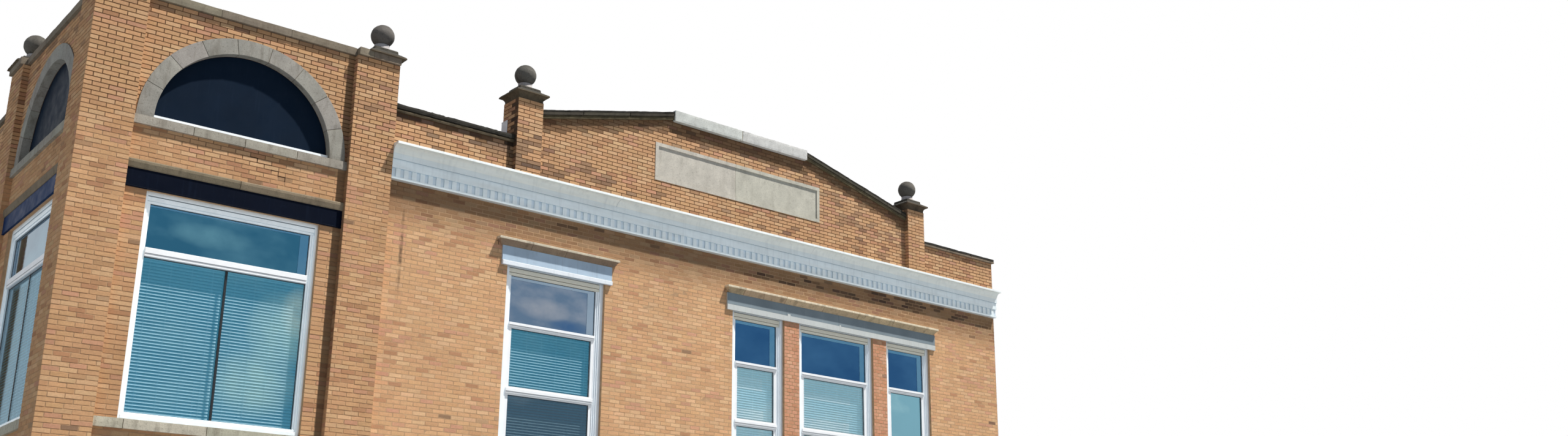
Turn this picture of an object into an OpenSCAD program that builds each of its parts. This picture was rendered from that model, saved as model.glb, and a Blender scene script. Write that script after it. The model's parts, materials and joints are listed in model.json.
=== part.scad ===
// Brick town hall of two storeys at the end of a row: a square corner tower with arched
// attic windows, a main front with a white cornice and a low gable, and ball finials.
// Millimetres. X runs along the street front, Y goes back from it and Z is up.
// The origin is at ground level, in the middle of the ground that the building covers.

/* [Footprint] */
// Width of the street front, from the corner to the party wall
building_w = 18800; // [17800:50:20000]
// Depth, from the street front to the rear wall
building_d = 14400; // [12500:50:16000]
// Width of each face of the corner tower
tower_w = 4530; // [4450:10:4800]
// Width of the brick piers on the tower's faces
pier_w = 700; // [620:10:730]
// Thickness of the outside walls
wall_t = 330; // [300:10:360]
// Distance the walls stand back from the faces of the piers
recess = 100; // [80:5:120]

/* [Levels] */
// Top of the ground floor
ground_floor_top = 150; // [120:10:200]
// Top of the upper floor
upper_floor_top = 3950; // [3850:10:4100]
// Thickness of the upper floor
floor_t = 250; // [200:10:300]
// Top of the main roof
roof_top = 9150; // [9050:10:9200]
// Thickness of the two roofs
roof_t = 200; // [150:10:240]
// Top of the tower's roof
tower_roof_top = 10480; // [10470:5:10520]
// Top of the tower's brick walls, under the coping
tower_wall_top = 10585; // [10570:5:10700]
// Top of the low parapet beside the tower, under the coping
left_parapet_top = 9905; // [9800:5:10000]
// Top of the other low parapets, under the coping
right_parapet_top = 9965; // [9850:5:10050]
// Depth that the floors and roofs reach into the walls
bearing = 100; // [60:10:120]

/* [Tower windows] */
// Width of the big window on each face of the tower
tower_window_w = 2490; // [2300:10:2600]
// Sill height of the upper windows
upper_sill = 4590; // [4500:10:4700]
// Head height of the tower's upper windows
tower_head = 7770; // [7700:10:7780]
// Height of the transom bar of the tower's upper windows, to its middle
tower_transom = 6916; // [6850:2:7000]
// Height where the attic arches spring
arch_spring = 8820; // [8800:5:8850]
// Clear radius of the attic arches
arch_r = 1285; // [1200:5:1290]
// Width of the stone ring round the arches
arch_ring = 245; // [200:5:250]
// Height of the stone band over the navy board
band_h = 125; // [110:5:130]
// Height of the navy board
board_h = 270; // [240:10:280]

/* [Front windows] */
// Distance from the corner to the middle of the single window
single_x = 7670; // [7600:10:7750]
// Width of the single window and of the entrance below it
single_w = 1918; // [1800:2:1960]
// Distance from the corner to the middle of the triple window
triple_x = 14088; // [14000:4:14150]
// Width of the middle window of the triple
triple_middle_w = 1975; // [1900:5:2000]
// Width of the outer windows of the triple
triple_outer_w = 1265; // [1200:5:1300]
// Width of the brick mullions of the triple
mullion_w = 380; // [360:5:400]
// Head height of the front's upper windows
front_head = 7820; // [7780:10:7840]
// Middle height of the upper bar of the front windows
front_transom = 6778; // [6720:2:6840]
// Middle height of the meeting rail of the front windows
front_meeting = 5689; // [5620:1:5760]

/* [Ground storey] */
// Sill height of the ground storey's windows
ground_sill = 1000; // [900:10:1100]
// Head height of the ground storey's windows and entrance
ground_head = 3000; // [2900:10:3050]
// Height of the bar over the entrance doors
door_head = 2350; // [2250:10:2400]

/* [Side and rear windows] */
// Width of the windows in the side and rear walls
plain_window_w = 1265; // [1100:5:1400]
// Number of windows a storey in the side wall
side_count = 3; // [2:1:3]
// Number of windows a storey in the rear wall
rear_count = 4; // [2:1:4]

/* [Gable] */
// Distance from the corner to the middle of the gable
gable_x = 11625; // [11600:5:11680]
// Distance from the gable's middle to the middle of each ball pier
ball_pier_offset = 4690; // [4600:10:4750]
// Width of the ball piers beside the gable
ball_pier_w = 480; // [460:5:500]
// Length of the stone on top of the gable
top_stone_w = 3274; // [3100:2:3400]
// Height of the underside of the top stone
top_stone_z = 11070; // [11000:5:11150]
// Height of the top stone
top_stone_h = 212; // [190:2:230]
// Top of the gable's brickwork where it meets the ball piers
slope_low = 10465; // [10420:5:10520]
// Top of the gable's brickwork where it meets the top stone
slope_high = 11160; // [11120:2:11170]
// Width of the name plaque, which is bare
plaque_w = 4030; // [3800:10:4200]
// Height of the name plaque
plaque_h = 725; // [650:5:750]
// Height of the underside of the name plaque
plaque_z = 9865; // [9800:5:9900]

/* [Cornice] */
// Underside of the cornice
cornice_z = 8720; // [8690:5:8740]
// Height of the cornice
cornice_h = 570; // [540:5:580]
// Projection of the cornice from the wall
cornice_out = 260; // [230:5:280]
// Spacing of the dentils
dentil_pitch = 139; // [120:1:160]

/* [Copings and finials] */
// Height of the tower's coping
tower_coping_h = 125; // [110:5:140]
// Height of the other copings
coping_h = 95; // [80:5:100]
// Overhang of the copings
overhang = 50; // [40:5:60]
// Width of the brick under the tower's pier caps
tower_cap_w = 460; // [440:5:480]
// Underside of the tower's pier caps
tower_cap_z = 10585; // [10550:5:10600]
// Underside of the caps of the ball piers
gable_cap_z = 10650; // [10600:5:10700]
// Height of the pier caps up to their widest edge
cap_lip = 135; // [120:5:150]
// Overhang of the pier caps
cap_out = 82; // [70:2:100]
// Height of the pier caps
cap_h = 255; // [230:5:270]
// Height of the ball's middle over the underside of its cap
ball_rise = 525; // [500:5:540]
// Radius of the balls
ball_r = 188; // [170:2:200]

/* [Hidden] */
$fn = 96;
// Small overlap that lets a cut run past the face it opens
past = 1;

brick = [0.74, 0.52, 0.33];
stone = [0.62, 0.58, 0.51];
dark_stone = [0.27, 0.25, 0.22];
white = [0.90, 0.92, 0.94];
pale_blue = [0.72, 0.80, 0.88];
grey_board = [0.45, 0.48, 0.50];
navy = [0.03, 0.05, 0.11];
glass_blue = [0.35, 0.50, 0.62, 0.45];
concrete = [0.60, 0.60, 0.58];
roofing = [0.30, 0.30, 0.31];

// Faces of the walls, seen in plan. The tower is square, so the same values serve X and Y.
inner = recess + wall_t;
rear_in = building_d - wall_t;
party_in = building_w - wall_t;
shaft = tower_w - wall_t;
tower_mid = tower_w / 2;

// Depth of the stones that are built into the walls, and how far each kind stands out
bed = 110;
sill_out = 50;
band_out = 60;
label_out = 110;
ring_out = 20;
sill_h = 135;
sill_reach = 60;
label_h = 130;
label_reach = 221;
triple_reach = 190;
board_reach = 115;
triple_board_reach = 150;
front_board_h = 228;
board_t = 30;

// Navy panels in the arches and the white bead along their foot
panel_t = 48;
bead_d = 60;
bead_h = 66;

// Window frames: place in the wall's depth and widths of their members
frame_back = 170;
frame_front = 30;
stile = 95;
front_stile = 130;
foot = 100;
tower_top_rail = 165;
front_top_rail = 222;
tower_bar = 130;
transom_bar = 76;
meeting_bar = 88;
glass_in = 110;
glass_t = 24;
blind_t = 25;
blind_margin = 20;

module on_site() translate([-building_w / 2, -building_d / 2, 0]) children();
// The tower's side is its front, turned about the corner's diagonal
module side_face() mirror([1, -1, 0]) children();
module both_faces() {
    children();
    side_face() children();
}
module box(x0, x1, y0, y1, z0, z1)
    translate([x0, y0, z0]) cube([x1 - x0, y1 - y0, z1 - z0]);
// An outline of X and Z, given the thickness from y0 to y1
module upright(y0, y1)
    translate([0, y1, 0]) rotate([90, 0, 0]) linear_extrude(y1 - y0) children();
// An outline of Y and Z, run along X
module along_x(x0, x1)
    translate([x0, 0, 0]) rotate([90, 0, 90]) linear_extrude(x1 - x0) children();

// Floors and roofs. Each reaches into pockets in the walls that carry it.
module slab(reach, z1, t, x1 = party_in, y1 = rear_in)
    box(inner - reach, x1 + reach, inner - reach, y1 + reach, z1 - t, z1);
module upper_slab() slab(bearing, upper_floor_top, floor_t);
module roof_slab() difference() {
    slab(bearing, roof_top, roof_t);
    box(0, shaft, 0, shaft, 0, tower_wall_top);
}
module tower_slab() slab(bearing, tower_roof_top, roof_t, shaft, shaft);
module pocketed() difference() {
    children();
    upper_slab();
    roof_slab();
    tower_slab();
}

// Window positions. A window is [middle, width, sill, head, bar heights and thicknesses].
tower_window = [tower_mid, tower_window_w, upper_sill, tower_head,
    [[tower_transom, tower_bar]]];
tower_ground = [tower_mid, tower_window_w, ground_sill, ground_head, []];
outer_offset = triple_middle_w / 2 + mullion_w + triple_outer_w / 2;
triple_columns = [[triple_x - outer_offset, triple_outer_w], [triple_x, triple_middle_w],
    [triple_x + outer_offset, triple_outer_w]];
front_columns = concat([[single_x, single_w]], triple_columns);
front_bars = [[front_meeting, meeting_bar], [front_transom, transom_bar]];
front_windows = [for (c = front_columns) [c[0], c[1], upper_sill, front_head, front_bars]];
front_ground = [for (c = triple_columns) [c[0], c[1], ground_sill, ground_head, []]];
triple_half = outer_offset + triple_outer_w / 2;
triple_ground = [triple_x, 2 * triple_half, ground_sill, ground_head, []];
entrance = [single_x, single_w, ground_floor_top, ground_head, [[door_head, transom_bar]]];
function spread(low, high, count) =
    [for (i = [0:count - 1]) low + (high - low) * (i + 0.5) / count];
function plain_windows(middles) = [for (m = middles, sill = [ground_sill, upper_sill])
    [m, plain_window_w, sill, sill == ground_sill ? ground_head : front_head,
        sill == ground_sill ? [] : front_bars]];
side_windows = plain_windows(spread(tower_w, rear_in, side_count));
rear_windows = plain_windows(spread(inner, party_in, rear_count));

module opening(w, y0 = recess - past, y1 = inner + past)
    box(w[0] - w[1] / 2, w[0] + w[1] / 2, y0, y1, w[2], w[3]);

// Clear heights between the frame's foot, its bars and its top rail
function lights(w, top_rail) = let (n = len(w[4])) [for (i = [0:n]) [
    i == 0 ? w[2] + foot : w[4][i - 1][0] + w[4][i - 1][1] / 2,
    i == n ? w[3] - top_rail : w[4][i][0] - w[4][i][1] / 2]];
module light_boxes(w, top_rail, side, y0, y1) for (l = lights(w, top_rail))
    box(w[0] - w[1] / 2 + side, w[0] + w[1] / 2 - side, y0, y1, l[0], l[1]);
module frame(w, top_rail = stile, side = stile) difference() {
    opening(w, recess + frame_front, recess + frame_back);
    light_boxes(w, top_rail, side, recess, inner);
}
module pane(w, top_rail = stile, side = stile)
    light_boxes(w, top_rail, side, recess + glass_in, recess + glass_in + glass_t);
module blind(w, top_rail, i, x0, x1) let (l = lights(w, top_rail)[i])
    box(x0, x1, recess + frame_back, recess + frame_back + blind_t, l[0], l[1] + blind_margin);
module window_sill(w, reach = sill_reach)
    box(w[0] - w[1] / 2 - reach, w[0] + w[1] / 2 + reach, recess - sill_out, recess + bed,
        w[2] - sill_h, w[2]);
module lintel(w, reach = bed)
    box(w[0] - w[1] / 2 - reach, w[0] + w[1] / 2 + reach, recess - ring_out, recess + bed,
        w[3], w[3] + label_h);

// Brick walls of the tower
module pier_column(x0, x1) box(x0, x1, 0, inner, 0, tower_wall_top);
module corner_pier() color(brick) on_site() pocketed() {
    pier_column(0, pier_w);
    box(0, inner, 0, pier_w, 0, tower_wall_top);
}
module far_pier() difference() {
    pier_column(tower_w - pier_w, tower_w);
    roof_slab();
    upper_slab();
    tower_slab();
}
module tower_front_pier() color(brick) on_site() far_pier();
module tower_side_pier() color(brick) on_site() side_face() far_pier();
module tower_stones() {
    arch_stone();
    arch_sill();
    tower_band();
    panel_sill(upper_sill);
    panel_sill(ground_sill);
    lintel(tower_ground);
}
module tower_wall() difference() {
    box(pier_w, tower_w - pier_w, recess, inner, 0, tower_wall_top);
    opening(tower_window);
    opening(tower_ground);
    arch_disc(arch_r, recess - past, inner + past);
    tower_stones();
    upper_slab();
    tower_slab();
}
module tower_front_wall() color(brick) on_site() tower_wall();
module tower_side_wall() color(brick) on_site() side_face() tower_wall();
// The tower's two walls over the main roof
module tower_inner_walls() color(brick) on_site() difference() {
    box(inner, tower_w, inner, tower_w, roof_top, tower_wall_top);
    box(0, shaft, 0, shaft, 0, tower_wall_top + past);
    tower_slab();
}

// Brick walls of the main building. The front is laid in lifts: up to the ground storey's
// sills, between its windows, up to the upper sills, between the windows there, and up to
// the top of the cornice.
module front_lift(z0, z1) box(tower_w, building_w, recess, inner, z0, z1);
module front_base_wall() color(brick) on_site() difference() {
    front_lift(0, ground_sill);
    doorstep(recess - past, inner + past, -past, ground_sill + past);
    for (w = front_ground) window_sill(w);
}
module front_floor_band() color(brick) on_site() pocketed() difference() {
    front_lift(ground_head, upper_sill);
    lintel(entrance);
    lintel(triple_ground);
    for (w = front_windows) window_sill(w);
}
module main_front_wall() color(brick) on_site() pocketed() difference() {
    front_lift(front_head, cornice_z + cornice_h);
    single_stone();
    triple_stone();
}
// Where the brick runs between windows that are listed from left to right
function pier_spans(windows) = let (n = len(windows)) [for (i = [0:n]) [
    i == 0 ? tower_w : windows[i - 1][0] + windows[i - 1][1] / 2,
    i == n ? building_w : windows[i][0] - windows[i][1] / 2]];
module piers(windows, z0, z1)
    for (s = pier_spans(windows)) box(s[0], s[1], recess, inner, z0, z1);
module front_piers() color(brick) on_site() {
    piers(concat([entrance], front_ground), ground_sill, ground_head);
    piers(front_windows, upper_sill, front_head);
}
module gable_outline() {
    left = gable_x - ball_pier_offset;
    right = gable_x + ball_pier_offset;
    polygon([
        [tower_w, cornice_z + cornice_h], [building_w, cornice_z + cornice_h],
        [building_w, right_parapet_top], [right, right_parapet_top],
        [right, slope_low], [right - ball_pier_w / 2, slope_low],
        [gable_x + top_stone_w / 2, slope_high], [gable_x + top_stone_w / 2, top_stone_z],
        [gable_x - top_stone_w / 2, top_stone_z], [gable_x - top_stone_w / 2, slope_high],
        [left + ball_pier_w / 2, slope_low], [left, slope_low],
        [left, left_parapet_top], [tower_w, left_parapet_top]]);
}
module gable_parapet() color(brick) on_site() difference() {
    upright(recess, inner) gable_outline();
    ball_pier(-1);
    ball_pier(1);
    plaque_block(recess - past);
}
module ball_pier(hand) translate([gable_x + hand * ball_pier_offset, 0, 0])
    box(-ball_pier_w / 2, ball_pier_w / 2, 0, ball_pier_w, cornice_z + cornice_h, gable_cap_z);
module gable_pier_left() color(brick) on_site() ball_pier(-1);
module gable_pier_right() color(brick) on_site() ball_pier(1);
module side_wall() color(brick) on_site() pocketed() side_face() difference() {
    box(tower_w, building_d, recess, inner, 0, right_parapet_top);
    plain_cuts(side_windows);
}
module plain_cuts(windows) for (w = windows) {
    opening(w);
    window_sill(w);
    lintel(w);
}
// Turns a front wall's piece to the rear wall, which faces back
module rear_face() translate([0, building_d + recess, 0]) mirror([0, 1, 0]) children();
module rear_wall() color(brick) on_site() pocketed() rear_face() difference() {
    box(inner, building_w, recess, inner, 0, right_parapet_top);
    plain_cuts(rear_windows);
}
module party_wall() color(brick) on_site() pocketed()
    box(party_in, building_w, inner, rear_in, 0, right_parapet_top);

// Floors and roofs
module ground_floor() color(concrete) on_site() slab(0, ground_floor_top, ground_floor_top);
module upper_floor() color(concrete) on_site() upper_slab();
module roof_deck() color(roofing) on_site() roof_slab();
module tower_roof() color(roofing) on_site() tower_slab();

// Attic arches
module arch_disc(r, y0, y1) intersection() {
    translate([tower_mid, y1, arch_spring]) rotate([90, 0, 0]) cylinder(r = r, h = y1 - y0);
    box(tower_mid - r - past, tower_mid + r + past, y0, y1, arch_spring, arch_spring + r + past);
}
module arch_stone() difference() {
    arch_disc(arch_r + arch_ring, recess - ring_out, recess + bed);
    arch_disc(arch_r, 0, inner);
}
module front_arch() color(stone) on_site() arch_stone();
module side_arch() color(stone) on_site() side_face() arch_stone();
module arch_sill() box(pier_w, tower_w - pier_w, recess - sill_out, recess + bed,
    arch_spring - sill_h, arch_spring);
module arch_sills() color(stone) on_site() both_faces() arch_sill();
module arch_panels() color(navy) on_site() both_faces()
    arch_disc(arch_r, recess + bed, recess + bed + panel_t);
module arch_beads() color(white) on_site() both_faces() intersection() {
    arch_disc(arch_r, recess + bed - bead_d, recess + bed);
    box(0, tower_w, 0, inner, arch_spring, arch_spring + bead_h);
}

// Stone bands, navy boards, frames, glass, sills and blinds of the tower
module tower_band() box(pier_w, tower_w - pier_w, recess - band_out, recess + bed,
    tower_head + board_h, tower_head + board_h + band_h);
module tower_bands() color(stone) on_site() both_faces() tower_band();
module tower_boards() color(navy) on_site() both_faces()
    box(pier_w, tower_w - pier_w, recess - board_t, recess, tower_head, tower_head + board_h);
module tower_frames() color(white) on_site() both_faces() {
    frame(tower_window, tower_top_rail);
    frame(tower_ground);
}
module tower_glass() color(glass_blue) on_site() both_faces() {
    pane(tower_window, tower_top_rail);
    pane(tower_ground);
}
module panel_sill(z)
    box(pier_w, tower_w - pier_w, recess - sill_out, recess + bed, z - sill_h, z);
module tower_sills() color(stone) on_site() both_faces() {
    panel_sill(upper_sill);
    panel_sill(ground_sill);
}
module tower_blinds() color(pale_blue) on_site() both_faces() {
    reach = tower_window_w / 2 - stile + blind_margin;
    blind(tower_window, tower_top_rail, 0, tower_mid - reach, tower_mid - blind_margin / 2);
    blind(tower_window, tower_top_rail, 0, tower_mid + blind_margin / 2, tower_mid + reach);
}

// Windows of the main front
module front_frames() color(white) on_site() {
    for (w = front_windows) frame(w, front_top_rail, front_stile);
    for (w = front_ground) frame(w);
}
module front_glass() color(glass_blue) on_site() {
    for (w = front_windows) pane(w, front_top_rail, front_stile);
    for (w = front_ground) pane(w);
}
module front_blinds() color(pale_blue) on_site() for (w = front_windows, i = [0, 1]) {
    reach = w[1] / 2 - front_stile + blind_margin;
    blind(w, front_top_rail, i, w[0] - reach, w[0] + reach);
}
module front_sills() color(stone) on_site() {
    for (w = concat(front_windows, front_ground)) window_sill(w);
    doorstep(recess - sill_out, inner, 0, ground_floor_top);
}
module doorstep(y0, y1, z0, z1)
    box(single_x - single_w / 2, single_x + single_w / 2, y0, y1, z0, z1);
// The single and the triple window each have a long stone label over a metal board
label_z = front_head + front_board_h;
module label_stone(x0, x1) box(x0, x1, recess - label_out, recess + bed, label_z, label_z + label_h);
module single_stone() label_stone(single_x - single_w / 2 - label_reach,
    single_x + single_w / 2 + label_reach);
module triple_stone() label_stone(triple_x - triple_half - triple_reach,
    triple_x + triple_half + triple_reach);
module front_board(middle, reach) box(middle - reach, middle + reach, recess - board_t, recess,
    front_head, label_z);
module single_label() color(stone) on_site() single_stone();
module triple_label() color(stone) on_site() triple_stone();
module single_board() color(pale_blue) on_site()
    front_board(single_x, single_w / 2 + board_reach);
module triple_board() color(grey_board) on_site()
    front_board(triple_x, triple_half + triple_board_reach);

// Entrance and lintels of the ground storey. Nothing here swings.
leaf_t = 50;
leaf_front = 60;
leaf_rail = 130;
leaf_kick = 500;
leaf_gap = 6;
leaf_top = door_head - transom_bar / 2;
module doorway(x0, x1, y0, y1) box(x0, x1, y0, y1, ground_floor_top, leaf_top);
door_left = single_x - single_w / 2 + stile;
door_right = single_x + single_w / 2 - stile;
module fanlight(y0, y1) box(door_left, door_right, y0, y1,
    door_head + transom_bar / 2, ground_head - stile);
module leaf(x0, x1) difference() {
    doorway(x0, x1, recess + leaf_front, recess + leaf_front + leaf_t);
    leaf_light(x0, x1, recess, inner);
}
module leaf_light(x0, x1, y0, y1) box(x0 + leaf_rail, x1 - leaf_rail, y0, y1,
    ground_floor_top + leaf_kick, leaf_top - leaf_rail);
module entrance_frame() color(white) on_site() difference() {
    opening(entrance, recess + frame_front, recess + frame_back);
    doorway(door_left, door_right, recess, inner);
    fanlight(recess, inner);
}
module entrance_doors() color(navy) on_site() {
    leaf(door_left, single_x - leaf_gap / 2);
    leaf(single_x + leaf_gap / 2, door_right);
}
module entrance_glass() color(glass_blue) on_site() {
    y0 = recess + leaf_front + (leaf_t - glass_t) / 2;
    leaf_light(door_left, single_x - leaf_gap / 2, y0, y0 + glass_t);
    leaf_light(single_x + leaf_gap / 2, door_right, y0, y0 + glass_t);
    fanlight(recess + glass_in, recess + glass_in + glass_t);
}
module ground_lintels() color(stone) on_site() {
    both_faces() lintel(tower_ground);
    lintel(triple_ground);
    lintel(entrance);
}

// Windows of the side and rear walls. The piece is drawn once for each window, $w.
module at_plain_windows() {
    side_face() for ($w = side_windows) children();
    rear_face() for ($w = rear_windows) children();
}
module plain_frames() color(white) on_site() at_plain_windows() frame($w);
module plain_glass() color(glass_blue) on_site() at_plain_windows() pane($w);
module plain_sills() color(stone) on_site() at_plain_windows() window_sill($w);
module plain_lintels() color(stone) on_site() at_plain_windows() lintel($w);

// Cornice: base fillet, dentil band, fascia, fillet, cove and crown. Each step is
// [distance out from the wall, height over the underside].
base_out = 90;
dentil_bed_out = 58;
dentil_back = 5;
dentil_out = 86;
dentil_z = 40;
dentil_h = 138;
dentil_w = 104;
fascia_out = 100;
fascia_top = 322;
fillet_out = 122;
fillet_top = 400;
crown_h = 40;
cove_steps = 8;
cove_h = cornice_h - crown_h - fillet_top;
cove_out = cornice_out - crown_h - fillet_out;
cove = [for (i = [0:cove_steps]) let (a = 90 * i / cove_steps)
    [fillet_out + cove_out * (1 - cos(a)), fillet_top + cove_h * sin(a)]];
cornice_steps = concat([[0, 0], [base_out, 0], [base_out, dentil_z],
    [dentil_bed_out, dentil_z], [dentil_bed_out, dentil_z + dentil_h],
    [fascia_out, dentil_z + dentil_h], [fascia_out, fascia_top], [fillet_out, fascia_top]],
    cove, [[cornice_out, cornice_h - crown_h], [cornice_out, cornice_h], [0, cornice_h]]);
module cornice() color(white) on_site() along_x(tower_w, building_w)
    polygon([for (p = cornice_steps) [recess - p[0], cornice_z + p[1]]]);
// The dentils are the teeth of one strip, which is fixed on the dentil band
dentil_count = floor((building_w - tower_w) / dentil_pitch);
dentil_start = tower_w + (building_w - tower_w - dentil_count * dentil_pitch) / 2;
module dentils() color(white) on_site()
    translate([0, 0, cornice_z + dentil_z]) linear_extrude(dentil_h) polygon(concat(
        [[building_w, recess - dentil_bed_out], [tower_w, recess - dentil_bed_out],
            [tower_w, recess - dentil_bed_out - dentil_back]],
        [for (i = [0:dentil_count - 1], corner = [[0, 0], [0, 1], [1, 1], [1, 0]])
            [dentil_start + i * dentil_pitch + (dentil_pitch - dentil_w) / 2
                + corner[0] * dentil_w,
                recess - (corner[1] == 1 ? dentil_out : dentil_bed_out + dentil_back)]],
        [[building_w, recess - dentil_bed_out - dentil_back]]));

// Name plaque: a sunk field in a raised border, left bare
plaque_bed = 60;
plaque_out = 15;
plaque_border = 70;
plaque_sunk = 20;
module plaque_block(y0, y1 = recess + plaque_bed, border = 0)
    box(gable_x - plaque_w / 2 + border, gable_x + plaque_w / 2 - border, y0, y1,
        plaque_z + border, plaque_z + plaque_h - border);
module name_plaque() color(stone) on_site() difference() {
    plaque_block(recess - plaque_out);
    plaque_block(0, recess - plaque_out + plaque_sunk, plaque_border);
}

// Copings
coping_front = recess - overhang;
coping_back = inner + overhang;
module coping(x0, x1, z) box(x0, x1, coping_front, coping_back, z, z + coping_h);
module tower_coping() color(stone) on_site() difference() {
    z1 = tower_wall_top + tower_coping_h;
    both_faces() {
        box(0, tower_w, coping_front, coping_back, tower_wall_top, z1);
        box(0, pier_w, -overhang, inner, tower_wall_top, z1);
        box(tower_w - pier_w, tower_w, -overhang, inner, tower_wall_top, z1);
        box(inner, tower_w + overhang, shaft - overhang, tower_w + overhang,
            tower_wall_top, z1);
    }
    tower_caps(true);
}
module slope_coping(hand) {
    near = gable_x + hand * top_stone_w / 2;
    far = gable_x + hand * (ball_pier_offset - ball_pier_w / 2);
    upright(coping_front, coping_back) polygon([[near, slope_high], [far, slope_low],
        [far, slope_low + coping_h], [near, slope_high + coping_h]]);
}
module gable_copings() color(dark_stone) on_site() {
    slope_coping(-1);
    slope_coping(1);
}
module gable_top_stone() color(stone) on_site() box(gable_x - top_stone_w / 2,
    gable_x + top_stone_w / 2, coping_front, coping_back, top_stone_z,
    top_stone_z + top_stone_h);
pier_reach = ball_pier_offset + ball_pier_w / 2;
module front_copings() color(dark_stone) on_site() {
    coping(tower_w, gable_x - pier_reach, left_parapet_top);
    coping(gable_x + pier_reach, building_w + overhang, right_parapet_top);
}
module rear_copings() color(dark_stone) on_site() {
    z = right_parapet_top;
    side_face() coping(tower_w, building_d + overhang, z);
    rear_face() coping(coping_back, building_w + overhang, z);
    box(party_in - overhang, building_w + overhang, coping_back, rear_in - overhang,
        z, z + coping_h);
}

// Pier caps: a cove out to the lip, a weathered top and a square block. The outline is
// the same from both sides, so the cap is where its two extrusions meet.
lip_h = 25;
block_w = 420;
block_z = 200;
cap_steps = 6;
function cap_half(w) = concat(
    [for (i = [0:cap_steps]) let (a = 90 * i / cap_steps)
        [w / 2 + cap_out * (1 - cos(a)), (cap_lip - lip_h) * sin(a)]],
    [[w / 2 + cap_out, cap_lip], [block_w / 2, block_z], [block_w / 2, cap_h]]);
function both_halves(half) = concat(half,
    [for (i = [len(half) - 1:-1:0]) [-half[i][0], half[i][1]]]);
module cap(w) intersection() {
    side = w / 2 + cap_out + past;
    upright(-side, side) polygon(both_halves(cap_half(w)));
    along_x(-side, side) polygon(both_halves(cap_half(w)));
}
cap_mid = tower_cap_w / 2;
tower_cap_places = [[cap_mid, cap_mid], [tower_w - cap_mid, cap_mid],
    [cap_mid, tower_w - cap_mid]];
gable_cap_places = [for (hand = [-1, 1]) [gable_x + hand * ball_pier_offset, ball_pier_w / 2]];
module at_each(places, z) for (p = places) translate([p[0], p[1], z]) children();
// The caps, or with the seat under them, the room that the coping leaves
module tower_caps(seat = false) at_each(tower_cap_places, tower_cap_z) {
    cap(tower_cap_w);
    if (seat) box(-cap_mid, cap_mid, -cap_mid, cap_mid, tower_wall_top - tower_cap_z, cap_h);
}
module pier_caps() color(dark_stone) on_site() {
    tower_caps();
    at_each(gable_cap_places, gable_cap_z) cap(ball_pier_w);
}
neck_r = 120;
module ball() {
    neck_h = ball_rise - cap_h;
    translate([0, 0, cap_h]) cylinder(r = neck_r, h = neck_h);
    translate([0, 0, ball_rise]) sphere(r = ball_r);
}
module ball_finials() color(dark_stone) on_site() {
    at_each(tower_cap_places, tower_cap_z) ball();
    at_each(gable_cap_places, gable_cap_z) ball();
}

corner_pier();
tower_front_pier();
tower_side_pier();
tower_front_wall();
tower_side_wall();
tower_inner_walls();
front_base_wall();
front_piers();
front_floor_band();
main_front_wall();
gable_parapet();
gable_pier_left();
gable_pier_right();
side_wall();
rear_wall();
party_wall();
ground_floor();
upper_floor();
roof_deck();
tower_roof();
front_arch();
side_arch();
arch_sills();
arch_panels();
arch_beads();
tower_bands();
tower_boards();
tower_frames();
tower_glass();
tower_sills();
tower_blinds();
front_frames();
front_glass();
front_blinds();
single_label();
single_board();
triple_label();
triple_board();
front_sills();
entrance_frame();
entrance_doors();
entrance_glass();
ground_lintels();
plain_frames();
plain_glass();
plain_sills();
plain_lintels();
cornice();
dentils();
name_plaque();
tower_coping();
gable_copings();
gable_top_stone();
front_copings();
rear_copings();
pier_caps();
ball_finials();
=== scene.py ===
"""Looks of the brick town hall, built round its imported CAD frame.

The shape code works in site millimetres: X along the street from the corner, Y back from
the street, Z up. piece() turns them into the frame's metres."""

import itertools
import json
import math

import bpy
import numpy as np
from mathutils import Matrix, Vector, noise


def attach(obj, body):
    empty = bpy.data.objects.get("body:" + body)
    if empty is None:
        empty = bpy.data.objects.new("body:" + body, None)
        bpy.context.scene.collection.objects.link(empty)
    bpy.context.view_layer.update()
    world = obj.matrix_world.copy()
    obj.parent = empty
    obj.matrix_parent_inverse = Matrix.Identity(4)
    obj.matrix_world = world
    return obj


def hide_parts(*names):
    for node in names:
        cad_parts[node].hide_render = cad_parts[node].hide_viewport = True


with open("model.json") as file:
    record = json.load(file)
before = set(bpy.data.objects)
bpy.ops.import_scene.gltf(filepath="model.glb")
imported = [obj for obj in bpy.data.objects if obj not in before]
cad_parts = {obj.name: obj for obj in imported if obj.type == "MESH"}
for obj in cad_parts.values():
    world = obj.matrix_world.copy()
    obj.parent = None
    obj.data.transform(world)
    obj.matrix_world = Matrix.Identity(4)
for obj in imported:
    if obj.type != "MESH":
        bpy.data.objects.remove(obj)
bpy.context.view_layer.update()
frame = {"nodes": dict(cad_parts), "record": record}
rng = np.random.default_rng(1907)

BUILDING_W, BUILDING_D = 18800, 14400
SITE_TO_ROW = np.array([BUILDING_W / 2000, BUILDING_D / 2000, 0])

# ------------ camera and light

PHOTO_W = 2560
SENSOR_W = 36
CAMERA_AT = (-14.004, -26.936, 1.501)
CAMERA_YAW = math.radians(41.12)
CAMERA_PITCH = math.radians(16.18)
CAMERA_F = 2320


def placed(name, data):
    """A new object, put in the scene."""
    made = bpy.data.objects.new(name, data)
    bpy.context.scene.collection.objects.link(made)
    return made


camera = placed("camera", bpy.data.cameras.new("camera"))
camera.location = CAMERA_AT
camera.rotation_euler = (math.pi / 2 + CAMERA_PITCH, 0, -CAMERA_YAW)
camera.data.sensor_width = SENSOR_W
camera.data.lens = SENSOR_W * CAMERA_F / PHOTO_W
camera.data.shift_y = 0.02
camera.data.clip_end = 500
bpy.context.scene.camera = camera
bpy.context.scene.view_settings.view_transform = "Standard"


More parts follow.
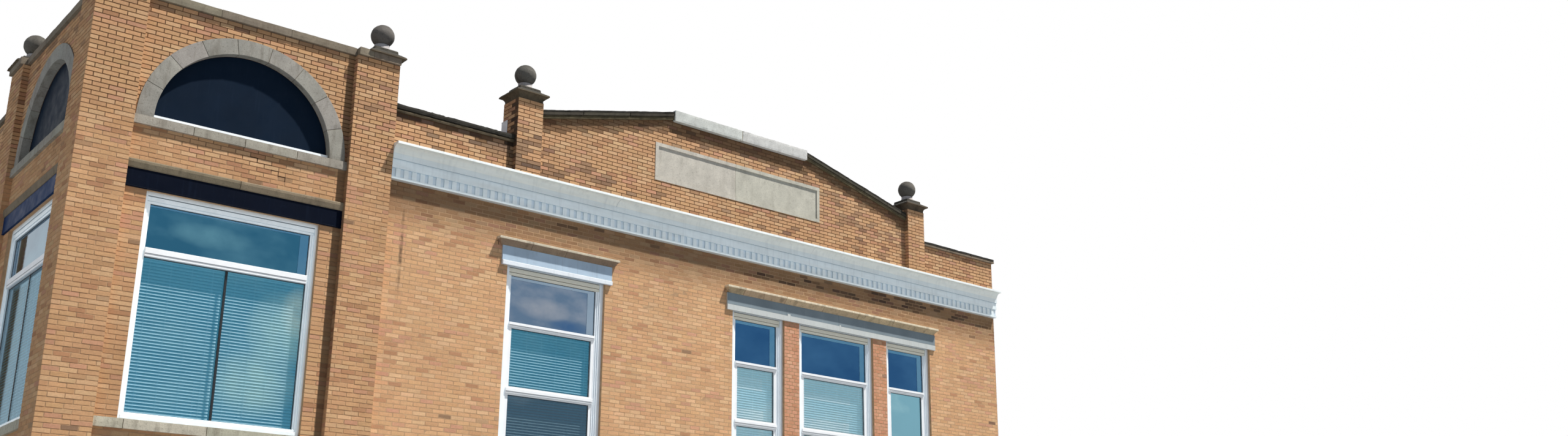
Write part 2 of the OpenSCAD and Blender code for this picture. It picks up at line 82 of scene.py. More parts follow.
def sun(name, travel, strength, softness, color=(1, 1, 1)):
    lamp = bpy.data.lights.new(name, "SUN")
    lamp.energy = strength
    lamp.angle = math.radians(softness)
    lamp.color = color
    holder = placed(name, lamp)
    holder.rotation_mode = "QUATERNION"
    holder.rotation_quaternion = Vector(travel).to_track_quat("-Z", "Y")


sun("key", (-1.18, 1.0, -3.08), 6.6, 1.6, (1.0, 0.985, 0.95))
sun("fill", (-0.3, -1.0, -0.7), 1.0, 25)
sun("side_fill", (1.0, 0.15, -0.5), 0.14, 25)

# ------------ materials

LOOKS = {}


def srgb(r, g, b):
    return tuple(
        c / 12.92 if c <= 0.04045 else ((c + 0.055) / 1.055) ** 2.4
        for c in (r / 255, g / 255, b / 255)
    )


class Nodes:
    """A node tree. What goes into its nodes is a number, a colour or another node's output."""

    def __init__(self, tree):
        self.tree = tree

    def join(self, value, socket):
        if isinstance(value, bpy.types.NodeSocket):
            self.tree.links.new(value, socket)
        elif socket.type == "RGBA":
            socket.default_value = (*value, 1)
        else:
            socket.default_value = value

    def add(self, kind, values=(), out=0, **settings):
        """Makes a node, with values for its first inputs or by name, and returns an output."""
        node = self.tree.nodes.new("ShaderNode" + kind)
        for name, value in settings.items():
            setattr(node, name, value)
        for key, value in values.items() if isinstance(values, dict) else enumerate(values):
            self.join(value, node.inputs[key])
        return node.outputs[out]

    def math(self, kind, a, b=0.0):
        return self.add("Math", (a, b), operation=kind)

    def times(self, a, b):
        return self.math("MULTIPLY", a, b)

    def mix(self, amount, a, b):
        return self.add("Mix", {0: amount, 6: a, 7: b}, 2, data_type="RGBA")

    def seen(self, seen, unseen, *rays):
        """The seen colour for the rays named, and the unseen one for all others."""
        amount = self.add("LightPath", out=rays[0])
        for ray in rays[1:]:
            amount = self.math("MAXIMUM", amount, self.add("LightPath", out=ray))
        return self.mix(amount, unseen, seen)


class Look(Nodes):
    """A procedural material whose colour is built up in steps. Its textures lie in the row's
    own metres."""

    def __init__(self, name, roughness=0.85, specular=0.3, metallic=0.0, alpha=1.0):
        self.material = LOOKS[name] = bpy.data.materials.new(name)
        self.material.use_nodes = True
        super().__init__(self.material.node_tree)
        self.shader = self.tree.nodes["Principled BSDF"]
        self.place = self.add("TexCoord", out="Object")
        self.put("Roughness", roughness)
        self.put("Specular IOR Level", specular)
        self.put("Metallic", metallic)
        self.put("Alpha", alpha)

    def put(self, name, value):
        self.join(value, self.shader.inputs[name])

    def done(self, height, metres, strength, roughness=None):
        """Puts the colour, a bump and, where it varies, the roughness on the shader."""
        self.put("Base Color", self.color)
        bump = {"Strength": strength, "Distance": metres, "Height": height}
        self.put("Normal", self.add("Bump", bump))
        if roughness is not None:
            self.put("Roughness", roughness)

    def between(self, value, low, high, to=(0, 1)):
        return self.add("MapRange", (value, low, high, *to))

    def noise(self, scale, low=0.3, high=0.7, to=(0, 1), detail=3, stretch=None):
        """Noise at so many waves a metre, its middle range spread over to."""
        place = self.place
        if stretch:
            place = self.add("Mapping", {"Vector": place, "Scale": stretch})
        values = {"Vector": place, "Scale": scale, "Detail": detail, "Roughness": 0.55}
        return self.between(self.add("TexNoise", values, "Fac"), low, high, to)

    def axis(self, name):
        return self.add("SeparateXYZ", (self.place,), name)

    def facing_up(self):
        normal = self.add("NewGeometry", out="Normal")
        return self.between(self.add("SeparateXYZ", (normal,), "Z"), 0.3, 0.8)

    def spot(self, x, z, rx, rz):
        """1 at a site place on a wall of the front, falling to 0 at an ellipse round it."""
        squares = []
        for axis, at, reach in (("X", x / 1000 - SITE_TO_ROW[0], rx), ("Z", z / 1000, rz)):
            away = self.times(self.math("SUBTRACT", self.axis(axis), at), 1000 / reach)
            squares.append(self.times(away, away))
        return self.between(self.math("ADD", *squares), 1.0, 0.1)

    def tone(self):
        """Starts from each solid's own tone."""
        self.color = self.add("Attribute", out="Color", attribute_name="tone")

    def base(self, color):
        self.color = self.add("RGB")
        self.color.default_value = (*color, 1)

    def tint(self, color, amount, share=None):
        """Mixes another colour in, by an amount or a share of it."""
        if share is not None:
            amount = self.times(amount, share)
        self.color = self.mix(amount, self.color, color)

    def scale(self, value):
        """Makes the colour brighter or darker by a value round 1."""
        self.color = self.add("VectorMath", {0: self.color, "Scale": value}, operation="SCALE")

    def vary(self, scale, low, high, **more):
        self.scale(self.noise(scale, to=(low, high), **more))

    def streak(self):
        """A thin dark stain run down the front, and painted shadows in the corners beside two
        piers, where the piers keep the sun off the wall.
        """
        front = self.between(self.axis("Y"), -6.5, -6.7)
        run = self.times(self.spot(4832, 7600, 34, 850), self.noise(7, 0.35, 0.6, detail=4))
        self.tint(srgb(88, 70, 58), self.times(run, front), 0.75)
        # Painted pier shadows: darker strips beside the tower's right pier and the left gable pier.
        for x, z, tall in ((3771, 7700, 5400), (6636, 9600, 900)):
            strip = self.times(self.spot(x, z, 66, tall), front)
            self.scale(self.between(strip, 0, 0.25, (1, 0.5)))


def brick_look():
    look = Look("brick", 0.93, 0.12)
    look.tone()
    look.vary(38, 0.92, 1.07)
    look.vary(0.45, 0.95, 1.04, detail=2)
    look.vary(1.6, 0.95, 1.04, stretch=(2.2, 2.2, 0.22))
    look.tint(srgb(126, 86, 58), look.noise(260, 0.60, 0.70, detail=2), 0.35)
    look.streak()
    look.done(look.noise(160, detail=4), 0.0012, 0.7)


def mortar_look():
    look = Look("mortar", 0.96, 0.1)
    look.color = look.mix(look.noise(14), srgb(183, 145, 110), srgb(203, 166, 128))
    # Painted shade: from 8.3 to 9.1 m up the mortar turns dark, standing in for the shade in the
    # deep joints high on the walls and under the cornice.
    height = look.math("ADD", look.axis("Z"), look.noise(0.8, to=(-0.3, 0.3)))
    look.tint(srgb(108, 80, 58), look.between(height, 8.3, 9.1))
    look.vary(120, 0.88, 1.08)
    look.vary(0.5, 0.9, 1.06)
    look.streak()
    look.done(look.noise(240, detail=4), 0.0015, 0.8)


def stone_look(name, base=None, stain_and_top_shade=srgb(88, 76, 62), stains=0.5, pits=0.0012):
    """Weathered stone. Without a base it takes each block's own tone. Its tops are tinted darker,
    partly with dirt and partly as painted shade against the steep sun.
    """
    look = Look(name, 0.9, 0.2)
    if base:
        look.base(base)
    else:
        look.tone()
    look.vary(5, 0.86, 1.10, detail=5)
    look.vary(70, 0.90, 1.08)
    look.tint(stain_and_top_shade, look.noise(5, 0.52, 0.74, detail=4, stretch=(1.6, 1.6, 0.35)), stains)
    look.tint(stain_and_top_shade, look.noise(33, 0.60, 0.66, detail=2), 0.30)
    # Tops tinted darker: dirt that settles there, and painted shade against the steep sun.
    look.tint(stain_and_top_shade, look.facing_up(), 0.6)
    cells = look.add("TexVoronoi", {"Vector": look.place, "Scale": 120}, "Distance")
    holes = look.times(look.between(cells, 0.02, 0.3), 0.4)
    look.done(look.math("ADD", holes, look.noise(90, detail=5)), pits, 0.9)


def paint_look(name, color, dirt_and_top_shade=srgb(140, 142, 138), wear=0.25, streaks=0.25, sheen=0.0):
    look = Look(name, 0.5, 0.3, sheen)
    look.base(color)
    look.vary(3, 0.95, 1.03)
    look.tint(dirt_and_top_shade, look.noise(9, 0.55, 0.8, detail=4, stretch=(2.4, 2.4, 0.16)), streaks)
    look.tint(dirt_and_top_shade, look.noise(26, 0.62, 0.72, detail=4), wear)
    # Tops tinted darker: dirt that settles there, and painted shade against the steep sun.
    look.tint(dirt_and_top_shade, look.facing_up(), 0.75)
    look.done(look.noise(110, detail=4), 0.0006, 0.6, look.noise(20, to=(0.4, 0.65)))


def cornice_look():
    """White sheet metal that a century of rain has greyed, its tops tinted darker still, partly by
    dirt and partly as painted shade. Each moulding has its tone.
    """
    look = Look("cornice_metal", 0.5, 0.3, 0.32)
    look.tone()
    look.vary(2.5, 0.95, 1.03, stretch=(1, 1, 4))
    warm = look.noise(1.3, 0.45, 0.75, detail=4, stretch=(0.6, 0.6, 5))
    look.tint(srgb(190, 180, 158), warm, 0.16)
    look.tint(srgb(150, 160, 168), look.noise(8, 0.5, 0.8, detail=4, stretch=(2, 2, 0.2)), 0.22)
    # Tops tinted darker: dirt that settles there, and painted shade against the steep sun.
    look.tint(srgb(150, 150, 144), look.facing_up(), 0.9)
    look.done(look.noise(4, detail=5), 0.004, 0.4, look.noise(18, to=(0.4, 0.62)))


def glass_look(name, deep, pale, alpha, cloud=0.8, amount=1.0, spots=()):
    """Glass whose coat mirrors the white surroundings in its own tint, a painted sky reflection,
    with pale painted cloud reflections where the noise is high and at the spots."""
    look = Look(name, 0.04, 0.5, 1.0, alpha)
    clouds = look.noise(cloud, 0.45, 0.78, detail=4, stretch=(1, 1, 1.7))
    look.color = look.mix(look.times(clouds, amount), deep, pale)
    for *place, tint, strength in spots:
        ragged = look.noise(3.0, 0.3, 0.6, to=(0.5, 1.0), detail=4)
        look.tint(tint, look.times(look.spot(*place), ragged), strength)
    look.vary(0.35, 0.92, 1.05)
    look.done(look.noise(1.1, detail=1), 0.003, 0.3, look.noise(6, to=(0.03, 0.08)))


def board_look(name, base, marks, amount, shine, roughness=0.5):
    """A sheet-metal board with faint drips and handling marks."""
    look = Look(name, roughness, shine)
    look.base(base)
    look.vary(1.7, 0.88, 1.12, detail=4)
    look.tint(marks, look.noise(11, 0.56, 0.8, detail=3, stretch=(2.0, 2.0, 0.12)), amount)
    look.tint(marks, look.noise(9, 0.6, 0.78, detail=5), amount * 0.6)
    gloss = look.noise(5, to=(roughness - 0.08, roughness + 0.14), detail=4)
    look.done(look.noise(2.2, detail=3), 0.005, 0.3, gloss)


def felt_look():
    """Roofing felt laid in one-metre rolls, with grit and ponding marks."""
    look = Look("roof_felt", 0.95, 0.15)
    roll = look.math("FRACT", look.axis("X"))
    lap = look.times(look.between(roll, 0.0, 0.012), look.between(roll, 1.0, 0.985))
    look.color = look.mix(look.noise(1.3, detail=5), srgb(88, 88, 89), srgb(108, 107, 104))
    look.vary(180, 0.75, 1.2, detail=2)
    look.color = look.mix(lap, srgb(46, 45, 46), look.color)
    look.tint(srgb(136, 131, 120), look.noise(0.3, 0.52, 0.60), 0.2)
    grit = look.math("ADD", look.times(lap, 2.0), look.noise(300, detail=2))
    look.done(grit, 0.002, 0.8)


def concrete_look():
    look = Look("concrete", 0.9, 0.2)
    look.color = look.mix(look.noise(2.2, detail=6), srgb(122, 120, 112), srgb(158, 155, 146))
    look.vary(80, 0.9, 1.07)
    look.done(look.noise(60, detail=5), 0.002, 0.6)


def slat_look():
    look = Look("slat_enamel", 0.45, 0.4)
    look.tone()
    look.vary(2.5, 0.93, 1.05, detail=4)
    look.tint(srgb(170, 176, 172), look.facing_up(), 0.10)
    look.done(look.noise(60), 0.0004, 0.5)


brick_look()
mortar_look()
felt_look()
concrete_look()
cornice_look()
slat_look()
stone_look("limestone")
stone_look("plaque_stone", None, srgb(120, 112, 98), 0.22, 0.0008)
stone_look("dark_stone", None, srgb(34, 31, 27), 0.6, 0.002)
stone_look("cap_stone", srgb(92, 84, 73), srgb(40, 37, 33), 0.7, 0.002)
paint_look("white_frame_paint", srgb(243, 249, 253), wear=0.05, streaks=0.06, sheen=0.26)
# The warm tint of the front heads' rails is painted bounce light on their shaded faces.
paint_look("cream_head_paint", srgb(246, 240, 222), wear=0.1, streaks=0.1, sheen=0.12)
paint_look("bright_frame_paint", srgb(240, 248, 252), wear=0.05, streaks=0.06, sheen=0.62)
paint_look("sash_paint", srgb(243, 244, 245), wear=0.05, streaks=0.05, sheen=0.2)
paint_look("gasket_rubber", srgb(24, 28, 33), srgb(60, 60, 60))
paint_look("white_flashing", srgb(240, 244, 248), wear=0.15)
paint_look("old_flashing", srgb(196, 199, 196), srgb(160, 158, 150), 0.2, 0.3, 0.15)
board_look("navy_board", srgb(5, 12, 27), srgb(24, 34, 52), 0.35, 0.04)
board_look("navy_side_board", srgb(12, 42, 82), srgb(34, 66, 106), 0.4, 0.05)
board_look("arch_panel", srgb(14, 28, 44), srgb(34, 46, 64), 0.22, 0.04)
board_look("door_paint", srgb(16, 28, 52), srgb(60, 68, 84), 0.3, 0.2, 0.35)
board_look("pale_board", srgb(184, 203, 220), srgb(130, 142, 156), 0.40, 0.2)
board_look("grey_board", srgb(128, 140, 146), srgb(150, 160, 164), 0.25, 0.2)
glass_look("triple_glass", srgb(38, 80, 122), srgb(54, 98, 138), 0.96)
glass_look("dusk_glass", srgb(76, 106, 126), srgb(106, 130, 146), 0.50)
glass_look("bright_glass", srgb(166, 214, 230), srgb(196, 230, 238), 0.34, 0.9)
glass_look("smooth_glass", srgb(126, 176, 192), srgb(164, 206, 214), 0.86, 0.9)
glass_look("edge_glass", srgb(86, 140, 176), srgb(112, 158, 186), 0.6)
glass_look("pale_edge_glass", srgb(142, 164, 184), srgb(156, 176, 194), 0.8)
glass_look("plain_glass", srgb(52, 80, 104), srgb(100, 130, 150), 0.80)

# Spots of painted sky and cloud reflection: middle x and z, reach across and up, tint and strength.
SKY = [
    (2000, 7300, 620, 190, srgb(96, 146, 164), 0.7),
    (2300, 7620, 1200, 70, srgb(92, 142, 162), 0.8),
]
glass_look("upper_glass", srgb(46, 98, 126), srgb(84, 134, 156), 0.95, spots=SKY)
GREY_SKY = [
    (7500, 7130, 560, 210, srgb(158, 164, 174), 0.8),
    (8000, 6900, 420, 130, srgb(56, 96, 142), 0.8),
]
glass_look("cloudy_glass", srgb(98, 122, 148), srgb(148, 158, 172), 0.95, 1.3, spots=GREY_SKY)
CLOUDS = [
    (2830, 5300, 640, 520, srgb(150, 204, 212), 1.0),
    (3150, 6100, 560, 620, srgb(150, 204, 212), 0.9),
    (3380, 6400, 300, 420, srgb(190, 220, 218), 0.7),
]
glass_look("lower_glass", srgb(80, 158, 190), srgb(124, 188, 208), 0.34, 0.8, 0.5, CLOUDS)

# ------------ background and floor


def background():
    world = bpy.data.worlds.new("sky")
    bpy.context.scene.world = world
    world.use_nodes = True
    nodes = Nodes(world.node_tree)
    rays = ("Is Camera Ray", "Is Glossy Ray", "Is Transmission Ray")
    color = nodes.seen((1, 1, 1), (0.13, 0.17, 0.23), *rays)
    nodes.join(color, nodes.tree.nodes["Background"].inputs[0])


def floor(radius=200, sides=64, near=26, far=60):
    """A disc. Where the camera sees it, it fades into the white background from near to far
    metres out from the building, so that no horizon shows."""
    turns = np.linspace(0, math.tau, sides + 1)[:-1]
    edge = [(radius * math.cos(a), radius * math.sin(a), -0.002) for a in turns]
    mesh = bpy.data.meshes.new("floor")
    mesh.from_pydata(edge, [], [tuple(range(sides))])
    look = Look("floor", 0.95, 0)
    look.put("Base Color", look.seen((0.42, 0.42, 0.42), (0.28, 0.295, 0.31), "Is Camera Ray"))
    reach = look.add("VectorMath", (look.place,), "Value", operation="LENGTH")
    ramp = {"Value": reach, "From Min": near, "From Max": far}
    share = look.add("MapRange", ramp, interpolation_type="SMOOTHSTEP")
    share = look.times(share, look.add("LightPath", out="Is Camera Ray"))
    mixed = look.add("MixShader", (share, look.shader.outputs[0], look.add("Emission")))
    look.join(mixed, look.tree.nodes["Material Output"].inputs["Surface"])
    mesh.materials.append(look.material)
    placed("floor", mesh)


background()
floor()

# ------------ mesh helpers

REAR_TURN = 14500
PLAIN = (1.0, 1.0, 1.0)


class Shape:
    """Closed solids that make up one piece, each with its tone and look. They are drawn on
    the street front, and go from there to the face that is set."""

    def __init__(self, look="limestone"):
        self.corners, self.loops, self.sizes, self.looks, self.tones = [], [], [], [], []
        self.look = look
        self.count = 0
        self.face = "front"

    def add(self, points, faces, tone=PLAIN, look=None):
        points = np.array(points, float)
        if self.face == "side":
            points = points[:, [1, 0, 2]]
        elif self.face == "rear":
            points[:, 1] = REAR_TURN - points[:, 1]
        if self.face != "front":
            faces = [f[::-1] for f in faces]
        self.corners.append(points)
        self.loops.append(np.concatenate([np.asarray(f) for f in faces]) + self.count)
        self.sizes.append([len(f) for f in faces])
        self.looks += [look or self.look] * len(faces)
        self.tones.append(np.broadcast_to(tone, (len(points), 3)))
        self.count += len(points)

    def stack(self, rings, tone=PLAIN, look=None):
        """A solid through rings of points, each above the last."""
        n, last = len(rings[0]), len(rings[0]) * (len(rings) - 1)
        faces = [tuple(range(n - 1, -1, -1)), tuple(range(last, last + n))]
        for j in range(0, last, n):
            faces += [(j + i, j + (i + 1) % n, j + n + (i + 1) % n, j + n + i) for i in range(n)]
        self.add([p for ring in rings for p in ring], faces, tone, look)

    def loft(self, levels, tone=PLAIN, look=None):
        """Rectangles stacked up: each level is z, x0, x1, y0, y1."""
        rings = []
        for z, x0, x1, y0, y1 in levels:
            rings.append([(x0, y0, z), (x1, y0, z), (x1, y1, z), (x0, y1, z)])
        self.stack(rings, tone, look)

    def box(self, x0, x1, y0, y1, z0, z1, look=None, tone=PLAIN):
        self.loft([(z0, x0, x1, y0, y1), (z1, x0, x1, y0, y1)], tone, look)

    def ring(self, x0, x1, z0, z1, side, bottom, top, y0, y1, look):
        """Four rails round an opening. Returns the opening's edges."""
        a, b = x0 + side, x1 - side
        self.box(x0, a, y0, y1, z0, z1, look)
        self.box(b, x1, y0, y1, z0, z1, look)
        self.box(a, b, y0, y1, z1 - top, z1, look)
        self.box(a, b, y0, y1, z0, z0 + bottom, look)
        return a, b, z0 + bottom, z1 - top

    def rough(self, x0, x1, y0, y1, z0, z1, tone, cell=70, wear=2.5, warp=None):
        """A worn block: its faces are uneven and its edges chipped."""
        spans = ((x0, x1), (y0, y1), (z0, z1))
        counts = [max(1, round((high - low) / cell)) for low, high in spans]
        index, points = {}, []
        for spot in itertools.product(*(range(n + 1) for n in counts)):
            inward = [(k == 0) - (k == n) for k, n in zip(spot, counts)]
            sides = sum(map(abs, inward))
            if not sides:
                continue
            index[spot] = len(points)
            at = [low + (high - low) * k / n for (low, high), k, n in zip(spans, spot, counts)]
            p = Vector(at)
            pull = wear * (0.6 if sides == 1 else 1.3 + noise.noise(p / 45))
            push = noise.noise(p / 170 + Vector((7, 3, 1)))
            p.x += inward[0] * pull * (0.6 + 0.4 * push)
            p.y += inward[1] * pull * (0.8 + 0.6 * push)
            p.z += inward[2] * pull * (0.8 + 0.6 * push)
            points.append(warp(p) if warp else p)
        faces = []
        for across, i, j, first_turned in ((2, 0, 1, True), (1, 0, 2, False), (0, 1, 2, True)):
            for end in (0, counts[across]):
                for a, b in itertools.product(range(counts[i]), range(counts[j])):
                    quad = []
                    for u, v in ((a, b), (a + 1, b), (a + 1, b + 1), (a, b + 1)):
                        spot = {across: end, i: u, j: v}
                        quad.append(index[spot[0], spot[1], spot[2]])
                    faces.append(quad[::-1] if first_turned == (end == 0) else quad)
        self.add(points, faces, tone)


def piece(name, shape, replaces=(), bevel=0.0, smooth=False):
    """Makes the mesh object of a shape and puts it on the frame."""
    mesh = bpy.data.meshes.new(name)
    corners = np.concatenate(shape.corners) / 1000 - SITE_TO_ROW
    loops = np.concatenate(shape.loops).astype(np.int32)
    sizes = np.concatenate(shape.sizes).astype(np.int32)
    mesh.vertices.add(len(corners))
    mesh.vertices.foreach_set("co", corners.astype(np.float32).ravel())
    mesh.loops.add(len(loops))
    mesh.loops.foreach_set("vertex_index", loops)
    mesh.polygons.add(len(sizes))
    mesh.polygons.foreach_set("loop_start", (np.cumsum(sizes) - sizes).astype(np.int32))
    looks, index = np.unique(shape.looks, return_inverse=True)
    for look in looks:
        mesh.materials.append(LOOKS[str(look)])
    mesh.polygons.foreach_set("material_index", index.astype(np.int32))
    mesh.polygons.foreach_set("use_smooth", np.full(len(sizes), smooth))
    mesh.update(calc_edges=True)
    tones = np.concatenate(shape.tones)
    tones = np.column_stack([tones, np.ones(len(tones))]).astype(np.float32)
    tone = mesh.attributes.new("tone", "FLOAT_COLOR", "POINT")
    tone.data.foreach_set("color", tones.ravel())
    made = placed(name, mesh)
    if bevel:
        edge = made.modifiers.new("edges", "BEVEL")
        edge.width = bevel / 1000
        edge.segments = 2
        edge.limit_method = "ANGLE"
    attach(made, "root")
    if replaces:
        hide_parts(*replaces)


# ------------ sizes of the building

TOWER_W, PIER_W, RECESS, TOWER_TOP = 4530, 700, 100, 10585
PANEL_END = TOWER_W - PIER_W
ROOF_TOP, PARAPET_TOP, LEFT_TOP = 9150, 9965, 9905
GROUND = (1000, 3000)
UPPER_SILL, TOWER_HEAD, FRONT_HEAD = 4590, 7770, 7820
UPPER = (UPPER_SILL, FRONT_HEAD)
SILL_H, SILL_MORE, LINTEL_H, LINTEL_MORE = 135, 60, 130, 110
DOOR_HEAD, LABEL_TOP = 3000, 8170
CORNICE_Z, CORNICE_TOP = 8720, 9290
SPRING, ARCH_R, ARCH_RING, TOWER_MID = 8820, 1285, 245, 2265
TOWER_WINDOW = (1020, 3510)
# The middle and width of windows. The door stands under the single one.
SINGLE, TRIPLE = (7670, 1918), (14088, 5265)
COLUMNS = [SINGLE, (12088, 1265), (14088, 1975), (16088, 1265)]
SIDE_MIDDLES = [6120, 9300, 12480]
REAR_MIDDLES = [2685, 7195, 11705, 16215]
PLAIN_W = 1265
WALL_BACK, OVERHANG = 430, 50
INNER_END_X, INNER_END_Y = 18470, 14070
PIER_MIDDLES = (6935, 16315)
PIER_HALF, PIER_BACK, PIER_TOP = 240, 480, 10650
SLOPE_X, SLOPE_Z = (7175, 9988, 13262, 16075), (10465, 11160, 11070)
PLAQUE = (9610, 13640, 9865, 10590)


def wide(middle, width, more=0):
    """The ends of an opening, or of a stone that reaches past it."""
    return middle - width / 2 - more, middle + width / 2 + more


TOWER_LINTEL = wide(TOWER_MID, 2490, LINTEL_MORE)
SINGLE_BOARD = wide(*SINGLE, 115)


# ------------ bricks

COURSE, JOINT, PITCH = 67.0, 9.0, 216.0
HALF_PITCH = PITCH / 2
SHALLOW, DEEP = 3, 62
BUFF = [
    (srgb(215, 168, 125), 0.46),
    (srgb(221, 178, 136), 0.22),
    (srgb(210, 162, 120), 0.19),
    (srgb(208, 156, 124), 0.08),
    (srgb(192, 143, 107), 0.05),
]
PINK = [(srgb(214, 156, 124), 0.6), (srgb(205, 146, 112), 0.3), (srgb(220, 168, 136), 0.1)]
SOOT = np.array(srgb(96, 80, 72))
CRACK = srgb(66, 44, 32)
TOWER_SHADE = (0.85, 0.84, 0.82)
GABLE_SHADE = (0.90, 0.90, 0.90)
# A brick's front is corners 0 to 3, and its back, in the wall, 4 to 7.
BRICK = np.array(
    [[0, 1, 2, 3], [4, 5, 1, 0], [5, 6, 2, 1], [6, 7, 3, 2], [7, 4, 0, 3], [7, 6, 5, 4]]
)


def bonded(u0, u1, z0, z1, holes=(), phase=0.0, pitch=PITCH, ends=(0, 0)):
    """The bricks of one wall face in running bond, as u0, u1, z0, z1 and the depth of each
    end. A hole is u0, u1, z0, z1 and its kind: bricks end deep at an "open" one, end flat
    at a "stop", and run on behind the edge of a "cover"."""
    thinnest, shortest, tuck = 12, 58, 30
    bricks = []
    for k in range(math.floor(z0 / COURSE), math.ceil(z1 / COURSE)):
        low = max(k * COURSE + JOINT / 2, z0)
        high = min((k + 1) * COURSE - JOINT / 2, z1)
        if high - low < thinnest:
            continue
        stops = []
        for h0, h1, v0, v1, kind in holes:
            if kind == "cover" and v0 <= low and high <= v1:
                stops.append((h0 + tuck, h1 - tuck, SHALLOW))
            elif kind != "cover" and low < v1 and high > v0:
                stops.append((h0, h1, DEEP if kind == "open" else SHALLOW))
        spans, at, depth = [], u0 - ends[0], SHALLOW
        for h0, h1, d in sorted(stops):
            if h0 > at + 20:
                spans.append((at, h0, depth, d))
            if h1 > at:
                at, depth = h1, d
        if at < u1:
            spans.append((at, u1 + ends[1], depth, SHALLOW))
        shift = phase + (pitch / 2 if k % 2 else 0)
        for s0, s1, d0, d1 in spans:
            first = math.floor((s0 - shift) / pitch) + 1
            cuts = [s0]
            while first * pitch + shift < s1:
                cuts.append(first * pitch + shift + rng.uniform(-3, 3))
                first += 1
            cuts.append(s1)
            if len(cuts) > 2 and cuts[1] - cuts[0] < shortest:
                del cuts[1]
            if len(cuts) > 2 and cuts[-1] - cuts[-2] < shortest:
                del cuts[-2]
            last = len(cuts) - 2
            for i in range(last + 1):
                a = cuts[i] + (JOINT / 2 if i else 0)
                b = cuts[i + 1] - (JOINT / 2 if i < last else 0)
                depths = (d0 if i == 0 else SHALLOW, d1 if i == last else SHALLOW)
                bricks.append((a, b, low, high, *depths))
    return np.array(bricks)


def waves(x, y, z):
    """Slow drifts over a wall, from -1 to 1."""
    return np.sin(0.9 * x + 1.7 * z + 0.4) * np.sin(1.3 * y - 0.8 * z + 1.1 * x + 2.0)


def soot_on(x, y, z):
    """How much soot each brick has, 0 to 1, from its place in metres."""
    soot = np.zeros(len(x))
    cluster = [0.5 + 1.1 * noise.noise(Vector(p)) for p in zip(3.6 * x, 3.6 * y, 6.5 * z)]
    clumps = np.clip(cluster, 0, 1) ** 2 * 2.6
    on_front = y < 0.2

    def front(x0, x1, z0, z1=math.inf):
        return on_front & (x > x0) & (x < x1) & (z > z0) & (z < z1)

    for inside, chance, low, high, clumped in (
        (front(6.7, 9.3, 9.25, 10.15 - 0.2 * (x - 6.7)), 0.46, 0.2, 0.7, True),
        (front(9.3, 16, 9.25, 10.9), 0.10, 0.2, 0.6, True),
        (front(12, 18.6, 8.42, 8.72), 0.55, 0.3, 0.85, True),
        (front(4.5, 12, 8.55, 8.72), 0.20, 0.2, 0.6, True),
        (front(4.5, 6.7, 9.76), 0.9, 0.5, 0.95, False),
        (front(4.5, 6.7, 9.5), 0.45, 0.3, 0.8, True),
        (front(6.635, 7.235, 9.3, 10.1), 0.5, 0.3, 0.9, True),
        (front(9.9, 16, 9.3) & (z > 11.0 - 0.5 * abs(x - 11.6)), 0.3, 0.2, 0.5, True),
        ((z > 10.35) & (x < 4.6) & (y < 4.6), 0.35, 0.15, 0.5, True),
        (front(3.8, 4.6, 9.6), 0.35, 0.2, 0.5, True),
        ((z > 8.1) & (z < 8.35) & (x < 0.9) & (y < 0.9), 0.12, 0.1, 0.4, False),
        (z < 0.3, 0.5, 0.1, 0.4, False),
        ((z > 9.7) & ~on_front, 0.25, 0.1, 0.5, True),
        (z > 0, 0.006, 0.2, 0.7, False),
    ):
        hit = inside & (rng.random(len(x)) < chance * (clumps if clumped else 1))
        soot[hit] = np.maximum(soot[hit], rng.uniform(low, high, hit.sum()))
    return soot


def grimed(x, y, z):
    """Painted shade: bricks under the cornice and under the gable and parapet copings are darkened,
    deepening the shadows that these cast on them.
    """
    front = (y < 0.2) & (x > 4.5)
    low = np.where(front & (z < 8.8), 1 - 0.52 * np.clip((z - 7.95) / 0.4, 0, 1), 1.0)
    reach = np.where((x > 9.9) & (x < 13.3), 0.26, 0.29)
    slope = front & (x > 7.2) & (x < 16.1) & (z > gable_top(1000 * x) / 1000 - reach)
    left = front & (x < 6.7) & (z > 9.79 + 0.06 * np.sin(9 * x))
    return np.where(slope | left, 0.40, low)


def gable_top(u):
    """Top of the gable's brickwork."""
    a, b, c, d = SLOPE_X
    low, high, under = SLOPE_Z
    slope = low + (high - low) * np.clip(np.minimum(u - a, d - u) / (b - a), 0, 1)
    top = np.where((u > b) & (u < c), under, slope)
    top = np.where(u < PIER_MIDDLES[0], LEFT_TOP, top)
    return np.where(u > PIER_MIDDLES[1], PARAPET_TOP, top)


